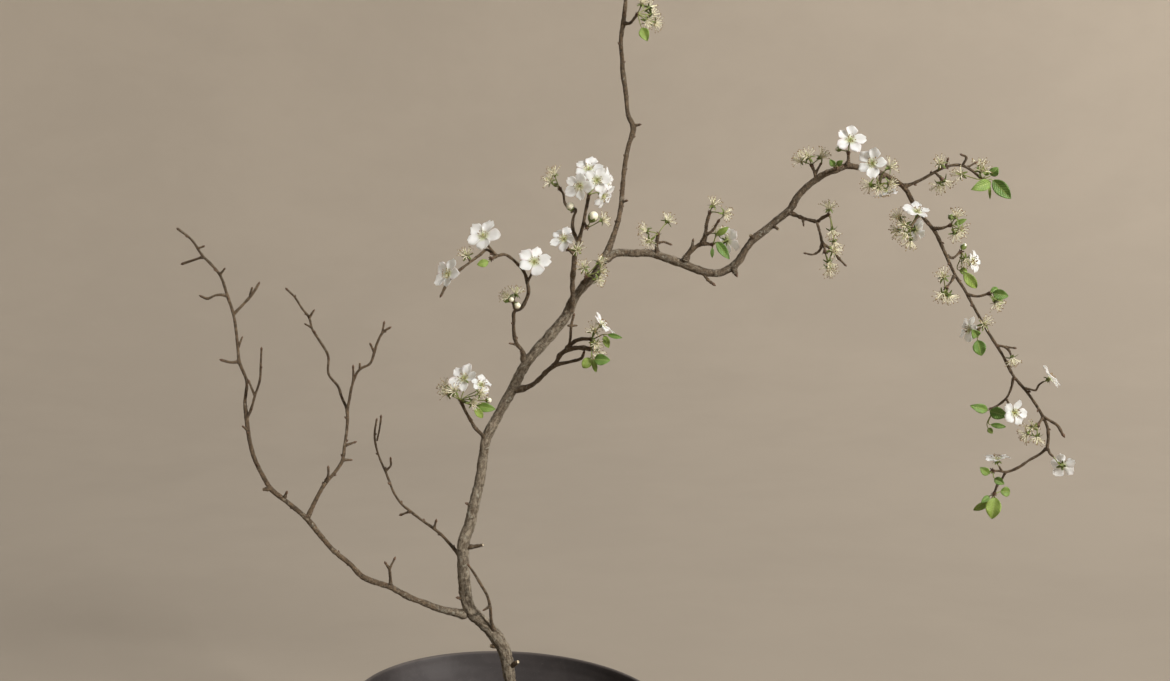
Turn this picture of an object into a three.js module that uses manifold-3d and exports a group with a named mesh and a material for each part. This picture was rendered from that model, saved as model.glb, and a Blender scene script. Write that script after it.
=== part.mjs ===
// A cut branch of a flowering fruit tree, standing on a pin holder in a wide oval stoneware bowl of water.
// Millimetres, +Z up. The origin is the middle of the bowl's foot, and the arrangement faces -Y.
import * as THREE from "three";
import { mergeVertices } from "three/addons/utils/BufferGeometryUtils.js";
import Module from "manifold-3d";

const wasm = await Module();
wasm.setup();
const { Manifold, Mesh } = wasm;

// Driving dimensions of the bowl.
const RIM_HEIGHT = 75;
const RIM_RADIUS = 147.5;
const OVAL_LONG = 1.075;
const OVAL_SHORT = 0.927;
const OVAL_TURN = THREE.MathUtils.degToRad(-47.7);
const FOOT_RADIUS = 62;
const FLOOR_THICK = 8;
const BOWL_SEGMENTS = 28;

// Water and pin holder.
const WATER_LEVEL = 48;
const GAP = 0.3;
const HOLDER_RADIUS = 32;
const HOLDER_X = 8;
const HOLDER_PLATE = 10;
const PIN_LENGTH = 12;
const PIN_PITCH = 8.4;
const PIN_ROOT = 1.2;
const PLATE_MARGIN = 3;
const HOLDER_SIDES = 24;
const PLATE_TOP = FLOOR_THICK + GAP + HOLDER_PLATE;
const SUNK_PIN = 2.7;
const STEM_FOOT = PLATE_TOP + SUNK_PIN + GAP;
const STEM_HOLE_RADIUS = 7.2;
const HOLE_SIDES = 12;

// Flowers, leaves and the knobs that they grow from.
const KNOB_RADIUS = 1.6;
const KNOB_SPARE_FACETS = 2;
const LONG_STALK = 9;
const SUNK_STALK = 1.5;
const PEDICEL_RADIUS = 0.6;
const STALK_BEND = 0.35;
const CALYX_DEPTH = 2.2;
const SEPAL_REACH = 4.5;
const SEPAL_DROOP = 1.5;
const SEPAL_NOTCH_DEPTH = 0.6;
const BOSS_RADIUS = 0.9;
const BOSS_HEIGHT = 0.4;
const SPENT_STAMEN = 7;
const SPENT_LEAN = 0.8;
const BLOOM_LEAN = 0.6;
const BUD_RADIUS = 0.43;
const BUD_REACH = 0.6;
const BUD_SHOULDERS = [-0.2, 0.25];
const PETAL_COUNT = 5;
const PETAL_BELLY = 0.64;
const PETAL_HALF_WIDTH = 0.33;
const PETAL_TIP_RISE = 0.4;
const PETAL_CUP = 1.2;
const PETAL_RISES = [0.3, 0.2, 0.26];
const BLADE_THICK = 0.7;
const HUB_RADIUS = 1.9;
const HUB_TOP = 1.2;
const BLOOM_STAMEN = 0.48;
const LEAF_STALK_RADIUS = 0.5;
const LEAF_SECTIONS = [0.32, 0.68];
const LEAF_EDGE = 0.45;
const LEAF_FOLD = 0.16;
const LEAF_ARCH = 0.07;

// Sides of a limb by the least thickness at its root.
const LIMB_SIDES = [[7, 7], [4.9, 6], [3.9, 5], [2.9, 4], [0, 3]];

const COLOURS = {
  bark: "#6d5b4b",
  green: "#7c9350",
  petal: "#f2efe6",
  stoneware: "#33302e",
  iron: "#4a4a48",
  water: "#8fa09c",
};

// Places are written as they are seen from the front, from an eye in front of the branch:
// [across, up, depth]. A depth other than 0 slides the point along the line of sight.
const EYE = new THREE.Vector3(70, -1300, 567);

function seen([across, up, depth]) {
  const onPlane = new THREE.Vector3(across, 0, up);
  return onPlane.sub(EYE).multiplyScalar((depth - EYE.y) / -EYE.y).add(EYE);
}

// A direction as [right, up, toward the viewer].
function facing([right, up, toward]) {
  return new THREE.Vector3(right, -toward, up).normalize();
}

// The limbs of the branch, root first: [across, up, depth, thickness].
const LIMBS = {
  trunk: [[14, 15, 0, 13], [11, 45, 0, 12], [7, 72, 0, 11], [2, 96, 0, 10.6], [-5, 129, -1, 12],
    [-15, 144, -3, 11.8], [-24, 153, -5, 11.3], [-33, 162, -6, 11.2], [-37, 172, -7, 11],
    [-39, 188, -8, 10.9], [-40, 212, -10, 10.8], [-39, 228, -9, 10.4], [-34, 242, -7, 10.2],
    [-30, 260, -4, 9.9], [-24, 285, 0, 9.2], [-21, 306, 4, 8.9], [-18, 322, 6, 8.9], [-10, 338, 9, 8.9],
    [5, 365, 12, 9.1], [19, 391, 11, 8.9], [31, 405, 10, 9.1], [44, 420, 6, 9.6], [54, 433, 3, 8.8],
    [61, 448, 0, 8.2], [69, 458, -2, 7.8], [78, 467, -5, 7.5], [85, 479, -7, 7.5], [90, 487, -8, 7.4]],
  trunkStubRight: [[-36, 222, -10, 4.5], [-27, 223, -14, 3.2], [-22, 224, -16, 2.7]],
  trunkStubLeft: [[-8, 130, -1, 4.5], [-16, 130, -5, 3.1]],
  trunkStubLow: [[0, 109, 0, 4.6], [9, 115, -8, 3.3]],
  sucker: [[-12, 142, -5, 4.1], [-15, 153, -12, 3.3], [-16, 167, -18, 3.2], [-19, 178, -22, 3.1],
    [-24, 187, -24, 3], [-31, 199, -25, 2.7], [-35, 205, -26, 2.2]],

  bough: [[-36, 159, -6, 8.4], [-51, 162, -10, 6.9], [-63, 165, -16, 6.3], [-75, 170, -22, 5.9],
    [-88, 175, -28, 5.5], [-99, 181, -34, 5.6], [-106, 185, -37, 5.2], [-115, 188, -40, 5.1],
    [-130, 194, -46, 5.4], [-143, 207, -52, 4.5], [-156, 218, -58, 4.5], [-167, 231, -63, 4.5],
    [-180, 248, -68, 5], [-197, 263, -74, 4.4], [-212, 276, -79, 4.4], [-220, 290, -83, 4],
    [-227, 307, -87, 3.9], [-230, 321, -90, 3.8], [-232, 341, -92, 4.1], [-233, 353, -92, 3.3],
    [-231, 373, -91, 2.9], [-237, 391, -89, 3.1], [-238, 404, -86, 2.8], [-241, 433, -80, 2.9],
    [-246, 450, -74, 2.9], [-252, 468, -69, 2.6], [-260, 478, -65, 2.6], [-266, 484, -62, 2.6],
    [-276, 499, -55, 2.4], [-287, 508, -48, 2.5]],
  boughSpurLow: [[-106, 186, -37, 3.6], [-106, 194, -40, 2.7], [-107, 202, -43, 2.6], [-110, 207, -46, 2.2]],
  boughSpurLowFork: [[-107, 201, -43, 2.3], [-102, 211, -41, 2.3]],
  boughSpurMid: [[-237, 391, -89, 2.7], [-244, 390, -93, 2.3], [-252, 392, -96, 2.5]],
  boughSpurRight: [[-241, 433, -80, 2.7], [-232, 442, -74, 2.5], [-223, 452, -70, 2.5],
    [-218, 460, -68, 2.1]],
  boughSpurHigh: [[-246, 450, -74, 2.6], [-256, 450, -80, 2.4], [-264, 447, -84, 2.6], [-269, 449, -86, 2.2]],
  boughSpurTop: [[-266, 484, -62, 2.6], [-275, 481, -58, 2.4], [-284, 478, -54, 2.6]],
  boughTwig: [[-232, 340, -92, 3.2], [-229, 345, -94, 2.7], [-224, 360, -98, 2.4], [-219, 375, -103, 2.4],
    [-218, 388, -107, 2.2], [-217, 402, -111, 2]],
  boughTwigSpur: [[-224, 360, -98, 2.2], [-229, 373, -99, 2]],

  fork: [[-180, 248, -68, 4.5], [-171, 267, -62, 3.9], [-162, 282, -56, 3.8], [-153, 292, -50, 3.6],
    [-147, 302, -45, 3.6], [-145, 315, -39, 3.2], [-143, 327, -34, 3.1], [-142, 337, -30, 3.2],
    [-142, 350, -24, 3.3]],
  forkSpurLow: [[-162, 282, -56, 2.9], [-160, 289, -60, 2.3], [-160, 295, -62, 2.3]],
  forkLeft: [[-142, 348, -25, 3], [-147, 360, -16, 2.8], [-149, 367, -12, 2.8], [-158, 380, -6, 2.6],
    [-158, 396, 2, 2.6], [-165, 409, 8, 2.7], [-172, 421, 13, 2.5], [-174, 430, 16, 2.6],
    [-180, 438, 20, 2.3], [-187, 449, 24, 2.3], [-193, 455, 27, 2.5]],
  forkRight: [[-142, 348, -25, 3], [-140, 356, -25, 2.9], [-137, 370, -27, 2.8], [-130, 384, -29, 2.8],
    [-121, 389, -30, 2.7], [-117, 399, -31, 2.7], [-114, 408, -33, 2.6], [-108, 418, -34, 2.7],
    [-103, 421, -35, 2.1]],
  forkRightTwig: [[-137, 370, -27, 2.5], [-136, 378, -30, 2.2], [-136, 386, -33, 2.1]],
  forkRightTip: [[-110, 415, -34, 2.3], [-108, 425, -31, 2.1]],

  back: [[-41, 214, -10, 5.4], [-45, 217, -6, 4.1], [-51, 224, -1, 3.2], [-60, 234, 4, 3.1],
    [-66, 239, 8, 3.2], [-77, 247, 14, 2.8], [-87, 255, 20, 3.1], [-95, 262, 26, 2.6],
    [-101, 271, 30, 2.5], [-106, 284, 35, 2.5], [-109, 292, 38, 2.6], [-114, 304, 42, 2.2],
    [-117, 315, 45, 2.2], [-118, 325, 47, 2.3], [-116, 338, 51, 2.3]],
  backSpurLow: [[-66, 239, 8, 2.7], [-64, 246, 5, 2.2]],
  backSpurLeft: [[-87, 255, 20, 2.7], [-95, 252, 24, 2.5]],
  backSpurRight: [[-109, 292, 38, 2.3], [-104, 297, 35, 2.1], [-104, 303, 33, 2]],
  backTip: [[-116, 319, 46, 2.1], [-113, 333, 43, 2], [-112, 341, 42, 2.2]],

  left: [[-18, 321, 6, 5.2], [-22, 325, 2, 3.9], [-28, 331, -3, 3.4], [-32, 338, -8, 3.4],
    [-37, 347, -13, 3.2], [-40, 354, -17, 3.7]],
  right: [[6, 365, 12, 6.2], [16, 367, 6, 5.3], [23, 370, 0, 4.6], [37, 383, -12, 4.4],
    [43, 388, -18, 4.3], [49, 398, -25, 4.6], [56, 402, -29, 4.4], [62, 403, -33, 4.4],
    [70, 403, -37, 4.3], [74, 402, -40, 4.1]],
  rightUpper: [[53, 401, -27, 4.1], [61, 409, -33, 3.9], [67, 411, -36, 3.8], [73, 411, -38, 3.7]],
  rightLower: [[43, 388, -18, 3.6], [58, 391, -26, 3.2], [67, 394, -30, 3], [69, 399, -34, 2.8]],
  rightThin: [[55, 402, -28, 3.2], [57, 412, -34, 2.7], [58, 424, -38, 2.7], [60, 432, -40, 2.3]],

  shoot: [[57, 434, 3, 6.2], [59, 446, -6, 4.9], [59, 461, -10, 4.6], [60, 475, -13, 4.8],
    [62, 490, -16, 4.9], [65, 498, -18, 5.3]],
  shootRight: [[64, 496, -18, 3.9], [68, 511, -20, 3.3], [70, 521, -22, 3.2], [73, 536, -22, 3.5]],
  shootThorn: [[69, 515, -21, 2.6], [71, 511, -26, 2.3]],
  shootNub: [[60, 524, -14, 2.4], [58, 523, -18, 2]],
  shootLeft: [[64, 496, -18, 3.7], [59, 511, -16, 3.2], [60, 519, -15, 2.8], [62, 525, -14, 2.8],
    [55, 527, -10, 2.6], [52, 532, -7, 2.5], [51, 539, -5, 2.5], [49, 542, -3, 2.6]],
  shootStub: [[61, 487, -16, 3.4], [56, 490, -22, 2.6]],
  trunkSpur: [[68, 459, -2, 4.2], [71, 466, -13, 3]],

  arm: [[16, 390, 11, 6.2], [14, 401, 7, 4.4], [10, 406, 3, 4.1], [7, 417, -4, 3.8], [7, 427, -10, 3.7],
    [8, 436, -15, 3.7], [13, 438, -18, 3.7], [17, 444, -22, 3.5], [20, 452, -26, 3.5], [19, 462, -31, 3.4],
    [16, 471, -35, 3.1], [11, 477, -38, 3], [6, 482, -41, 2.9], [-1, 486, -45, 2.9], [-8, 485, -48, 2.8],
    [-17, 490, -50, 2.8], [-22, 486, -52, 2.7], [-30, 480, -55, 2.6], [-42, 471, -58, 2.6],
    [-50, 463, -60, 2.5], [-57, 450, -61, 2.5]],
  armKnee: [[8, 437, -16, 3.2], [7, 442, -17, 2.8]],
  armLeafSpur: [[-7, 485, -48, 2.4], [-11, 483, -51, 2.2]],
  armTwigFirst: [[-8, 485, -48, 2.6], [-13, 491, -52, 2.4], [-17, 496, -54, 2]],
  armTwigSecond: [[18, 460, -30, 2.8], [22, 467, -36, 2.5], [24, 473, -42, 2]],
  armTwigThird: [[-49, 464, -60, 2.4], [-49, 465, -63, 2]],
  armTwigFourth: [[-31, 480, -55, 2.4], [-33, 483, -58, 2]],

  leader: [[86, 480, -8, 7], [91, 492, -7, 6], [95, 502, -4, 5.3], [99, 515, 0, 4.7], [102, 532, 5, 4.7],
    [103, 546, 9, 4.4], [105, 565, 15, 4.4], [108, 581, 20, 4.4], [112, 598, 25, 5.4], [108, 606, 28, 4.3],
    [106, 621, 31, 4.2], [105, 630, 33, 4.1], [103, 643, 35, 4.9], [102, 657, 38, 4], [101, 669, 40, 4],
    [103, 686, 44, 4.5], [105, 705, 48, 4], [104, 724, 51, 3.8], [99, 744, 54, 4], [100, 764, 57, 2.9],
    [103, 782, 60, 2.2]],
  leaderBudMid: [[111, 598, 25, 3.5], [117, 599, 22, 2.6]],
  leaderSpur: [[103, 686, 44, 3.5], [109, 686, 38, 2.8], [114, 692, 34, 2.9]],

  arch: [[86, 481, -8, 7.5], [97, 487, -9, 6.9], [112, 487, -11, 6.7], [127, 487, -14, 6.7],
    [135, 485, -16, 7], [147, 481, -20, 6.9], [158, 477, -23, 7], [168, 473, -26, 7.1],
    [178, 470, -29, 7.1], [189, 470, -32, 6.7], [198, 474, -35, 6.7], [205, 480, -38, 6.7],
    [213, 493, -41, 6.5], [219, 500, -43, 6.7], [228, 507, -46, 6.7], [236, 514, -48, 6.3],
    [250, 526, -52, 6.1], [256, 536, -54, 5.8], [264, 545, -56, 5.6], [273, 552, -58, 5.6],
    [281, 557, -60, 5.2], [290, 560, -62, 5.1], [298, 563, -64, 5.2], [310, 562, -67, 4.7],
    [321, 560, -69, 4.7], [331, 556, -72, 4.7], [339, 552, -74, 4.5], [349, 545, -77, 4.7],
    [359, 529, -80, 4], [369, 516, -84, 3.9], [376, 508, -86, 4], [387, 487, -90, 3.7],
    [397, 467, -92, 3.5], [405, 455, -94, 3.4], [413, 441, -96, 3.2], [426, 419, -99, 3.2],
    [441, 396, -102, 3.2], [451, 378, -104, 3.3], [463, 364, -105, 3.2], [478, 342, -106, 3.3],
    [483, 331, -106, 3.2], [484, 321, -106, 3.6], [483, 311, -105, 3.4]],
  archKnee: [[200, 475, -36, 4.8], [203, 469, -39, 3.7]],
  archHook: [[173, 472, -28, 4.4], [176, 467, -30, 3.5], [179, 463, -33, 3.4], [183, 460, -34, 2.8]],
  archStubDown: [[234, 512, -48, 4], [240, 508, -52, 2.8]],
  firstSpur: [[134, 485, -16, 4], [133, 494, -18, 3.5], [134, 502, -21, 3.3]],
  firstSpurTwig: [[134, 496, -19, 2.5], [139, 497, -16, 2.2], [145, 495, -13, 2.1]],
  secondSpur: [[157, 478, -23, 5.3], [162, 488, -24, 4.4], [168, 493, -26, 4.2], [173, 496, -28, 4.4],
    [176, 505, -30, 3.3], [177, 514, -31, 3.2], [179, 521, -32, 3.5]],
  secondSpurRight: [[175, 503, -30, 3.2], [181, 506, -33, 2.6], [187, 515, -37, 2.6]],
  secondSpurLow: [[172, 496, -28, 3.5], [180, 495, -31, 3]],
  hanging: [[247, 524, -52, 4.4], [256, 520, -54, 3.5], [261, 518, -56, 3.3], [268, 516, -59, 3.2],
    [274, 515, -61, 3.4], [278, 518, -64, 3], [282, 520, -66, 2.6]],
  hangingDown: [[273, 516, -61, 2.8], [275, 510, -63, 2.6], [277, 503, -65, 2.5], [279, 496, -66, 3],
    [286, 491, -68, 2.6], [292, 484, -70, 2.8], [299, 477, -72, 2]],
  hangingLeft: [[279, 497, -66, 2.8], [276, 489, -64, 2.6], [271, 486, -63, 2.2], [264, 487, -62, 1.8]],
  hangingTuft: [[280, 496, -66, 2.4], [281, 490, -68, 2.2]],
  thirdSpur: [[273, 550, -58, 3.7], [271, 557, -56, 3], [269, 562, -55, 3]],
  thirdSpurFork: [[271, 556, -56, 2.6], [276, 565, -53, 2.3]],
  archLeafSpur: [[290, 560, -62, 3], [290, 562, -68, 2.6]],
  fourthSpur: [[298, 562, -64, 3.8], [300, 568, -66, 3], [300, 573, -67, 3]],
  fifthSpur: [[332, 555, -72, 3.8], [329, 554, -77, 3.1], [328, 550, -80, 3.2]],
  archThornBud: [[382, 561, -86, 2.4], [382, 563, -90, 2]],

  reach: [[347, 545, -77, 4.4], [354, 547, -78, 3.5], [359, 549, -80, 3.3], [369, 554, -82, 3.3],
    [376, 558, -84, 3.2], [384, 562, -86, 3.1], [398, 564, -89, 3], [404, 562, -91, 3.1],
    [410, 558, -93, 3], [416, 553, -96, 3]],
  reachCurl: [[400, 564, -90, 2.6], [403, 571, -93, 2.8], [399, 573, -95, 2]],
  reachDrop: [[376, 558, -84, 2.5], [381, 553, -88, 2.4]],

  fallSpurA: [[364, 522, -82, 3.2], [360, 516, -86, 2.8], [357, 512, -89, 2.8]],
  fallSpurB: [[375, 509, -86, 3.5], [383, 509, -89, 2.8], [389, 511, -91, 2.8]],
  fallSpurC: [[388, 485, -90, 3], [394, 483, -88, 2.6], [399, 487, -86, 2.6]],
  fallSpurD: [[396, 468, -92, 3], [393, 462, -95, 2.6], [390, 458, -97, 2.6]],
  fallSpurE: [[407, 451, -95, 3], [417, 449, -98, 2.6], [425, 451, -100, 2.6]],
  fallSpurF: [[423, 424, -98, 3], [419, 420, -101, 2.5]],
  fallSpurG: [[435, 405, -101, 2.8], [442, 404, -104, 2.3], [446, 401, -106, 2.5], [448, 397, -107, 2]],
  fallSpurGTip: [[442, 404, -104, 2.2], [451, 403, -103, 2]],
  fallTwig: [[451, 377, -104, 3], [449, 366, -101, 2.4], [446, 359, -99, 2.3], [440, 353, -96, 2.5],
    [434, 349, -94, 2.6]],
  fallTwigSpur: [[445, 358, -99, 2.2], [447, 354, -100, 2.1], [449, 349, -102, 2]],
  fallTwigRight: [[460, 367, -105, 2.8], [466, 366, -108, 2.5], [471, 365, -110, 2.3],
    [474, 370, -111, 2.1], [478, 373, -112, 2]],
  fallEnd: [[478, 342, -106, 3], [486, 337, -108, 3.2], [491, 334, -109, 3.2], [497, 325, -111, 2.9]],
  fallEndSpur: [[479, 341, -106, 2.7], [475, 335, -110, 2.5]],
  tipLeft: [[483, 313, -105, 3.6], [478, 308, -102, 3.2], [468, 302, -98, 3], [458, 295, -94, 3],
    [447, 291, -90, 3], [441, 292, -92, 2.5], [437, 292, -94, 2.3]],
  tipLeftFlower: [[444, 291, -91, 2.4], [441, 296, -93, 2]],
  tipLeftDown: [[447, 291, -90, 2.9], [444, 285, -87, 2.9], [440, 279, -85, 3], [438, 273, -83, 2.7]],
  tipRight: [[484, 313, -105, 3], [486, 308, -107, 2.7], [489, 305, -109, 2.2]],
};

// Flowers that sit alone on a twig of their own. Their calyx is part of the branch.
// An open one has its bloom's name; [across, up, depth], [right, up, toward], width of the bloom.
const LONE_OPEN = {
  bloom_arm_first: { limb: "armTwigFirst", at: [-19, 501, -56], face: [-0.15, 0.6, 0.78], width: 30 },
  bloom_arm_second: { limb: "armTwigSecond", at: [25, 479, -46], face: [0.1, 0.45, 0.88], width: 28 },
  bloom_arm_third: { limb: "armTwigThird", at: [-50, 468, -67], face: [-0.55, 0.35, 0.72], width: 27 },
  bloom_fall_side: { limb: "fallTwigRight", at: [482, 375, -113], face: [0.79, 0.61, 0.1], width: 22 },
  bloom_fall_twig: { limb: "fallTwigSpur", at: [452, 345, -106], face: [0.35, 0.1, 0.9], width: 24 },
  bloom_tip_right: { limb: "tipRight", at: [497, 297, -102], face: [0.6, -0.2, -0.75], width: 21 },
  bloom_tip_left: { limb: "tipLeftFlower", at: [439, 301, -94], face: [-0.15, 0.98, 0.05], width: 23 },
};
const LONE_SPENT = [
  { limb: "armTwigFourth", at: [-34, 485, -60] },
  { limb: "archThornBud", at: [381, 565, -92] },
  { limb: "fallSpurG", at: [449, 394, -108] },
];
const LONE_BUDS = [
  { limb: "shootNub", at: [57, 528, -24], width: 7 },
];

// Sprays: each grows from the end of one limb. open: [place, facing, width]; spent: [place, facing or none];
// buds: [place, width]; leaves: [foot, tip, width].
const SPRAYS = {
  spray_leader: {
    limb: "leaderSpur",
    spent: [[[119, 702, 30]], [[125, 699, 48]], [[123, 688, 27]], [[130, 686, 42]], [[127, 693, 44]]],
    leaves: [[[119, 682, 20], [124, 671, 17], 8.8]],
  },
  spray_crown: {
    limb: "shootRight",
    open: [[[73, 559, -21], [0, 0.75, 0.65], 27], [[66, 546, -47], [-0.45, -0.1, 0.9], 26],
      [[80, 551, -40], [0.2, -0.05, 1], 25], [[87, 550, -14], [0.9, 0.2, 0.3], 24],
      [[85, 538, -24], [0.7, -0.6, 0.45], 25]],
  },
  spray_crown_low: {
    limb: "shootThorn",
    spent: [[[85, 516, -31]]],
    buds: [[[77, 519, -34], 8.8]],
  },
  spray_crown_side: {
    limb: "shootLeft",
    spent: [[[43, 556, -4]], [[40, 550, -9]]],
    buds: [[[44, 547, 2], 3.8]],
  },
  spray_shoot: {
    limb: "shootStub",
    open: [[[52, 499, -26], [-0.35, 0.45, 0.8], 24]],
    spent: [[[63, 490, -33], [0.2, 0.4, 0.9]]],
  },
  spray_trunk: {
    limb: "trunkSpur",
    spent: [[[83, 471, -16]], [[82, 479, -18]], [[81, 464, -20]], [[69, 474, -22]]],
  },
  spray_arm_leaf: {
    limb: "armLeafSpur",
    leaves: [[[-15, 479.5, -54], [-25, 477, -56], 6.6]],
  },
  spray_arm_knee: {
    limb: "armKnee",
    spent: [[[9, 451, -16]], [[2, 448, -20]]],
    buds: [[[5, 446, -28], 4.6], [[10, 441, -24], 6]],
    leaves: [[[3, 444, -14], [-2, 448, -12], 5.3]],
  },
  spray_left: {
    limb: "left",
    open: [[[-37, 375, -22], [-0.35, 0.55, 0.75], 27], [[-23, 369, -14], [0.35, 0.75, 0.55], 23]],
    spent: [[[-54, 368, -11]], [[-52, 362, -22]], [[-46, 364, -30]], [[-31, 354, -27]], [[-24, 362, -30]]],
    buds: [[[-16, 356, -24], 5]],
    leaves: [[[-27, 351, -22], [-10, 348, -26], 8], [[-28, 349, -27], [-21, 340, -25], 6.2]],
  },
  spray_right: {
    limb: "rightUpper",
    open: [[[84, 423, -51], [0.72, 0.68, 0.1], 25]],
    spent: [[[78, 418, -53]], [[79, 407, -46]], [[80, 400, -42]]],
    leaves: [[[90, 415, -52], [103, 412, -54], 4], [[87, 414, -46], [91, 403, -48], 5.8],
      [[78, 393, -48], [92, 392, -52], 9.3], [[75, 394, -44], [68, 385, -44], 8.4],
      [[77, 393, -45], [80, 381, -43], 4.4]],
  },
  spray_first: {
    limb: "firstSpur",
    spent: [[[124, 507, -24]], [[127, 498, -38]], [[142, 515, -16]]],
  },
  spray_second: {
    limb: "secondSpur",
    spent: [[[182, 529, -34]], [[192, 522, -38]]],
  },
  spray_second_low: {
    limb: "secondSpurLow",
    open: [[[194, 498, -26], [0.75, 0.15, -0.6], 27]],
    spent: [[[186, 504, -28]]],
    leaves: [[[186, 497, -36], [197, 482, -42], 7.5], [[186, 503, -38], [196, 510, -42], 5.3],
      [[182, 492, -30], [182, 483, -30], 3.1]],
  },
  spray_hanging: {
    limb: "hanging",
    spent: [[[284, 526, -68]], [[287, 507, -71]], [[289, 497, -66]]],
  },
  spray_hanging_low: {
    limb: "hangingTuft",
    spent: [[[285, 479, -73]], [[285, 474, -64]], [[288, 489, -78]]],
  },
  spray_third: {
    limb: "thirdSpur",
    spent: [[[259, 568, -54]], [[265, 571, -60]], [[276, 571, -58]]],
  },
  spray_arch_leaf: {
    limb: "archLeafSpur",
    leaves: [[[288, 563, -78], [284, 569, -80], 4.9], [[290, 564, -80], [295, 568, -84], 4.4]],
  },
  spray_fourth: {
    limb: "fourthSpur",
    open: [[[301, 585, -70], [0, 0.5, 0.85], 26]],
    buds: [[[291, 578, -64], 4.6]],
  },
  spray_fifth: {
    limb: "fifthSpur",
    open: [[[321, 565, -96], [-0.3, 0.35, 0.85], 26], [[333, 542, -78], [0.25, -0.95, 0.15], 22]],
    spent: [[[336, 562, -99], [0.7, 0.5, 0.3]], [[320, 547, -74]], [[336, 548, -88]], [[327, 545, -90]]],
  },
  spray_reach_drop: {
    limb: "reachDrop",
    spent: [[[380, 547, -90]], [[384, 550, -86], [0.6, -0.5, -0.3]]],
  },
  spray_reach: {
    limb: "reach",
    spent: [[[415, 563, -73], [0, 1, 0.1]], [[399, 556, -107]], [[416, 559, -102], [0.2, 0.5, 0.8]]],
    leaves: [[[425, 555, -98], [431, 562, -101], 7.5], [[427, 551, -92], [443, 535, -98], 10.6],
      [[425, 549, -107], [409, 543, -113], 8.8], [[420, 555, -99], [422, 560, -100], 4.9],
      [[424, 548, -94], [425, 534, -91], 2.3]],
  },
  spray_fall_a: {
    limb: "fallSpurA",
    open: [[[361, 522, -98], [0.1, 0.85, 0.5], 24], [[359, 508, -84], [0.85, -0.1, -0.45], 21]],
    spent: [[[346, 518, -92]], [[345, 507, -88]], [[352, 504, -96]], [[356, 498, -90]], [[351, 512, -100]]],
  },
  spray_fall_b: {
    limb: "fallSpurB",
    spent: [[[395, 519, -94]], [[399, 508, -104]], [[395, 505, -88]]],
    buds: [[[391, 519, -81], 5]],
    leaves: [[[394, 512, -92], [405, 517, -95], 4.1]],
  },
  spray_fall_c: {
    limb: "fallSpurC",
    open: [[[410, 480, -86], [0.9, 0, 0.4], 19]],
    spent: [[[405, 482, -91]]],
    buds: [[[403, 493, -81], 5.4]],
    leaves: [[[404, 470, -76], [416, 456, -74], 8.4], [[400, 472, -72], [407, 471, -71], 5.8]],
  },
  spray_fall_d: {
    limb: "fallSpurD",
    spent: [[[386, 466, -106]], [[386, 451, -102]], [[391, 450, -94]]],
  },
  spray_fall_e: {
    limb: "fallSpurE",
    spent: [[[433, 444, -104]]],
    leaves: [[[430, 452, -105], [444, 449, -109], 8], [[428, 453, -98], [435, 456, -96], 5.3],
      [[429, 448, -91], [440, 443, -90], 5.3]],
  },
  spray_fall_f: {
    limb: "fallSpurF",
    open: [[[412, 419, -102], [-0.92, 0.2, 0.3], 22]],
    spent: [[[423, 424, -110]]],
    leaves: [[[418, 410, -96], [422, 396, -98], 10.2], [[418, 413, -116], [413, 419, -122], 7.1]],
  },
  spray_fall_twig: {
    limb: "fallTwig",
    leaves: [[[429, 347, -94], [414, 351, -98], 7.5], [[431, 346, -98], [447, 342, -108], 9.7],
      [[432, 334, -82], [446, 332, -84], 4.4], [[430, 331, -83], [434, 326, -86], 4.4]],
  },
  spray_fall_end: {
    limb: "fallEndSpur",
    spent: [[[469, 332, -120]], [[465, 326, -108]], [[474, 323, -114]]],
  },
  spray_tip: {
    limb: "tipLeft",
    leaves: [[[432, 289, -97], [424, 295, -98], 6.6], [[437, 285, -98], [446, 280, -103], 6.2]],
  },
  spray_tip_low: {
    limb: "tipLeftDown",
    leaves: [[[443, 273, -77], [452, 273, -75], 8], [[438, 268, -80], [436, 248, -84], 12.4],
      [[433, 263, -76], [419, 256, -72], 5.8], [[433, 269, -82], [426, 263, -86], 4.4]],
  },
};

const UP = new THREE.Vector3(0, 0, 1);

// Turns a closed three.js geometry into a solid that can be joined and cut.
function solid(geometry) {
  const bare = new THREE.BufferGeometry();
  bare.setAttribute("position", geometry.getAttribute("position"));
  bare.setIndex(geometry.index);
  const merged = mergeVertices(bare, 1e-4);
  return new Manifold(
    new Mesh({
      numProp: 3,
      vertProperties: new Float32Array(merged.getAttribute("position").array),
      triVerts: new Uint32Array(merged.index.array),
    }),
  );
}

// The solid with these corners and triangles.
function faceted(points, triangles) {
  const geometry = new THREE.BufferGeometry();
  geometry.setAttribute("position", new THREE.Float32BufferAttribute(points.flatMap((p) => p.toArray()), 3));
  geometry.setIndex(triangles.flat());
  return solid(geometry);
}

function geometryOf(body) {
  const { vertProperties, triVerts } = body.getMesh();
  const geometry = new THREE.BufferGeometry();
  geometry.setAttribute("position", new THREE.Float32BufferAttribute(vertProperties, 3));
  geometry.setIndex(new THREE.Uint32BufferAttribute(triVerts, 1));
  geometry.computeVertexNormals();
  return geometry;
}

function join(bodies) {
  return bodies.reduce((whole, body) => whole.add(body));
}

// The triangles between two loops of corners that run the same way round. A loop of one corner is a tip.
function stitch(near, far) {
  const nearSteps = near.length > 1 ? near.length : 0;
  const farSteps = far.length > 1 ? far.length : 0;
  const triangles = [];
  let i = 0;
  let j = 0;
  while (i < nearSteps || j < farSteps) {
    const a = near[i % near.length];
    const b = far[j % far.length];
    if (j === farSteps || (i < nearSteps && (i + 1) / nearSteps <= (j + 1) / farSteps)) {
      triangles.push([a, near[(i + 1) % near.length], b]);
      i += 1;
    } else {
      triangles.push([a, far[(j + 1) % far.length], b]);
      j += 1;
    }
  }
  return triangles;
}

function flatEnd(loop) {
  return loop.slice(2).map((corner, k) => [loop[0], loop[k + 1], corner]);
}

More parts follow.
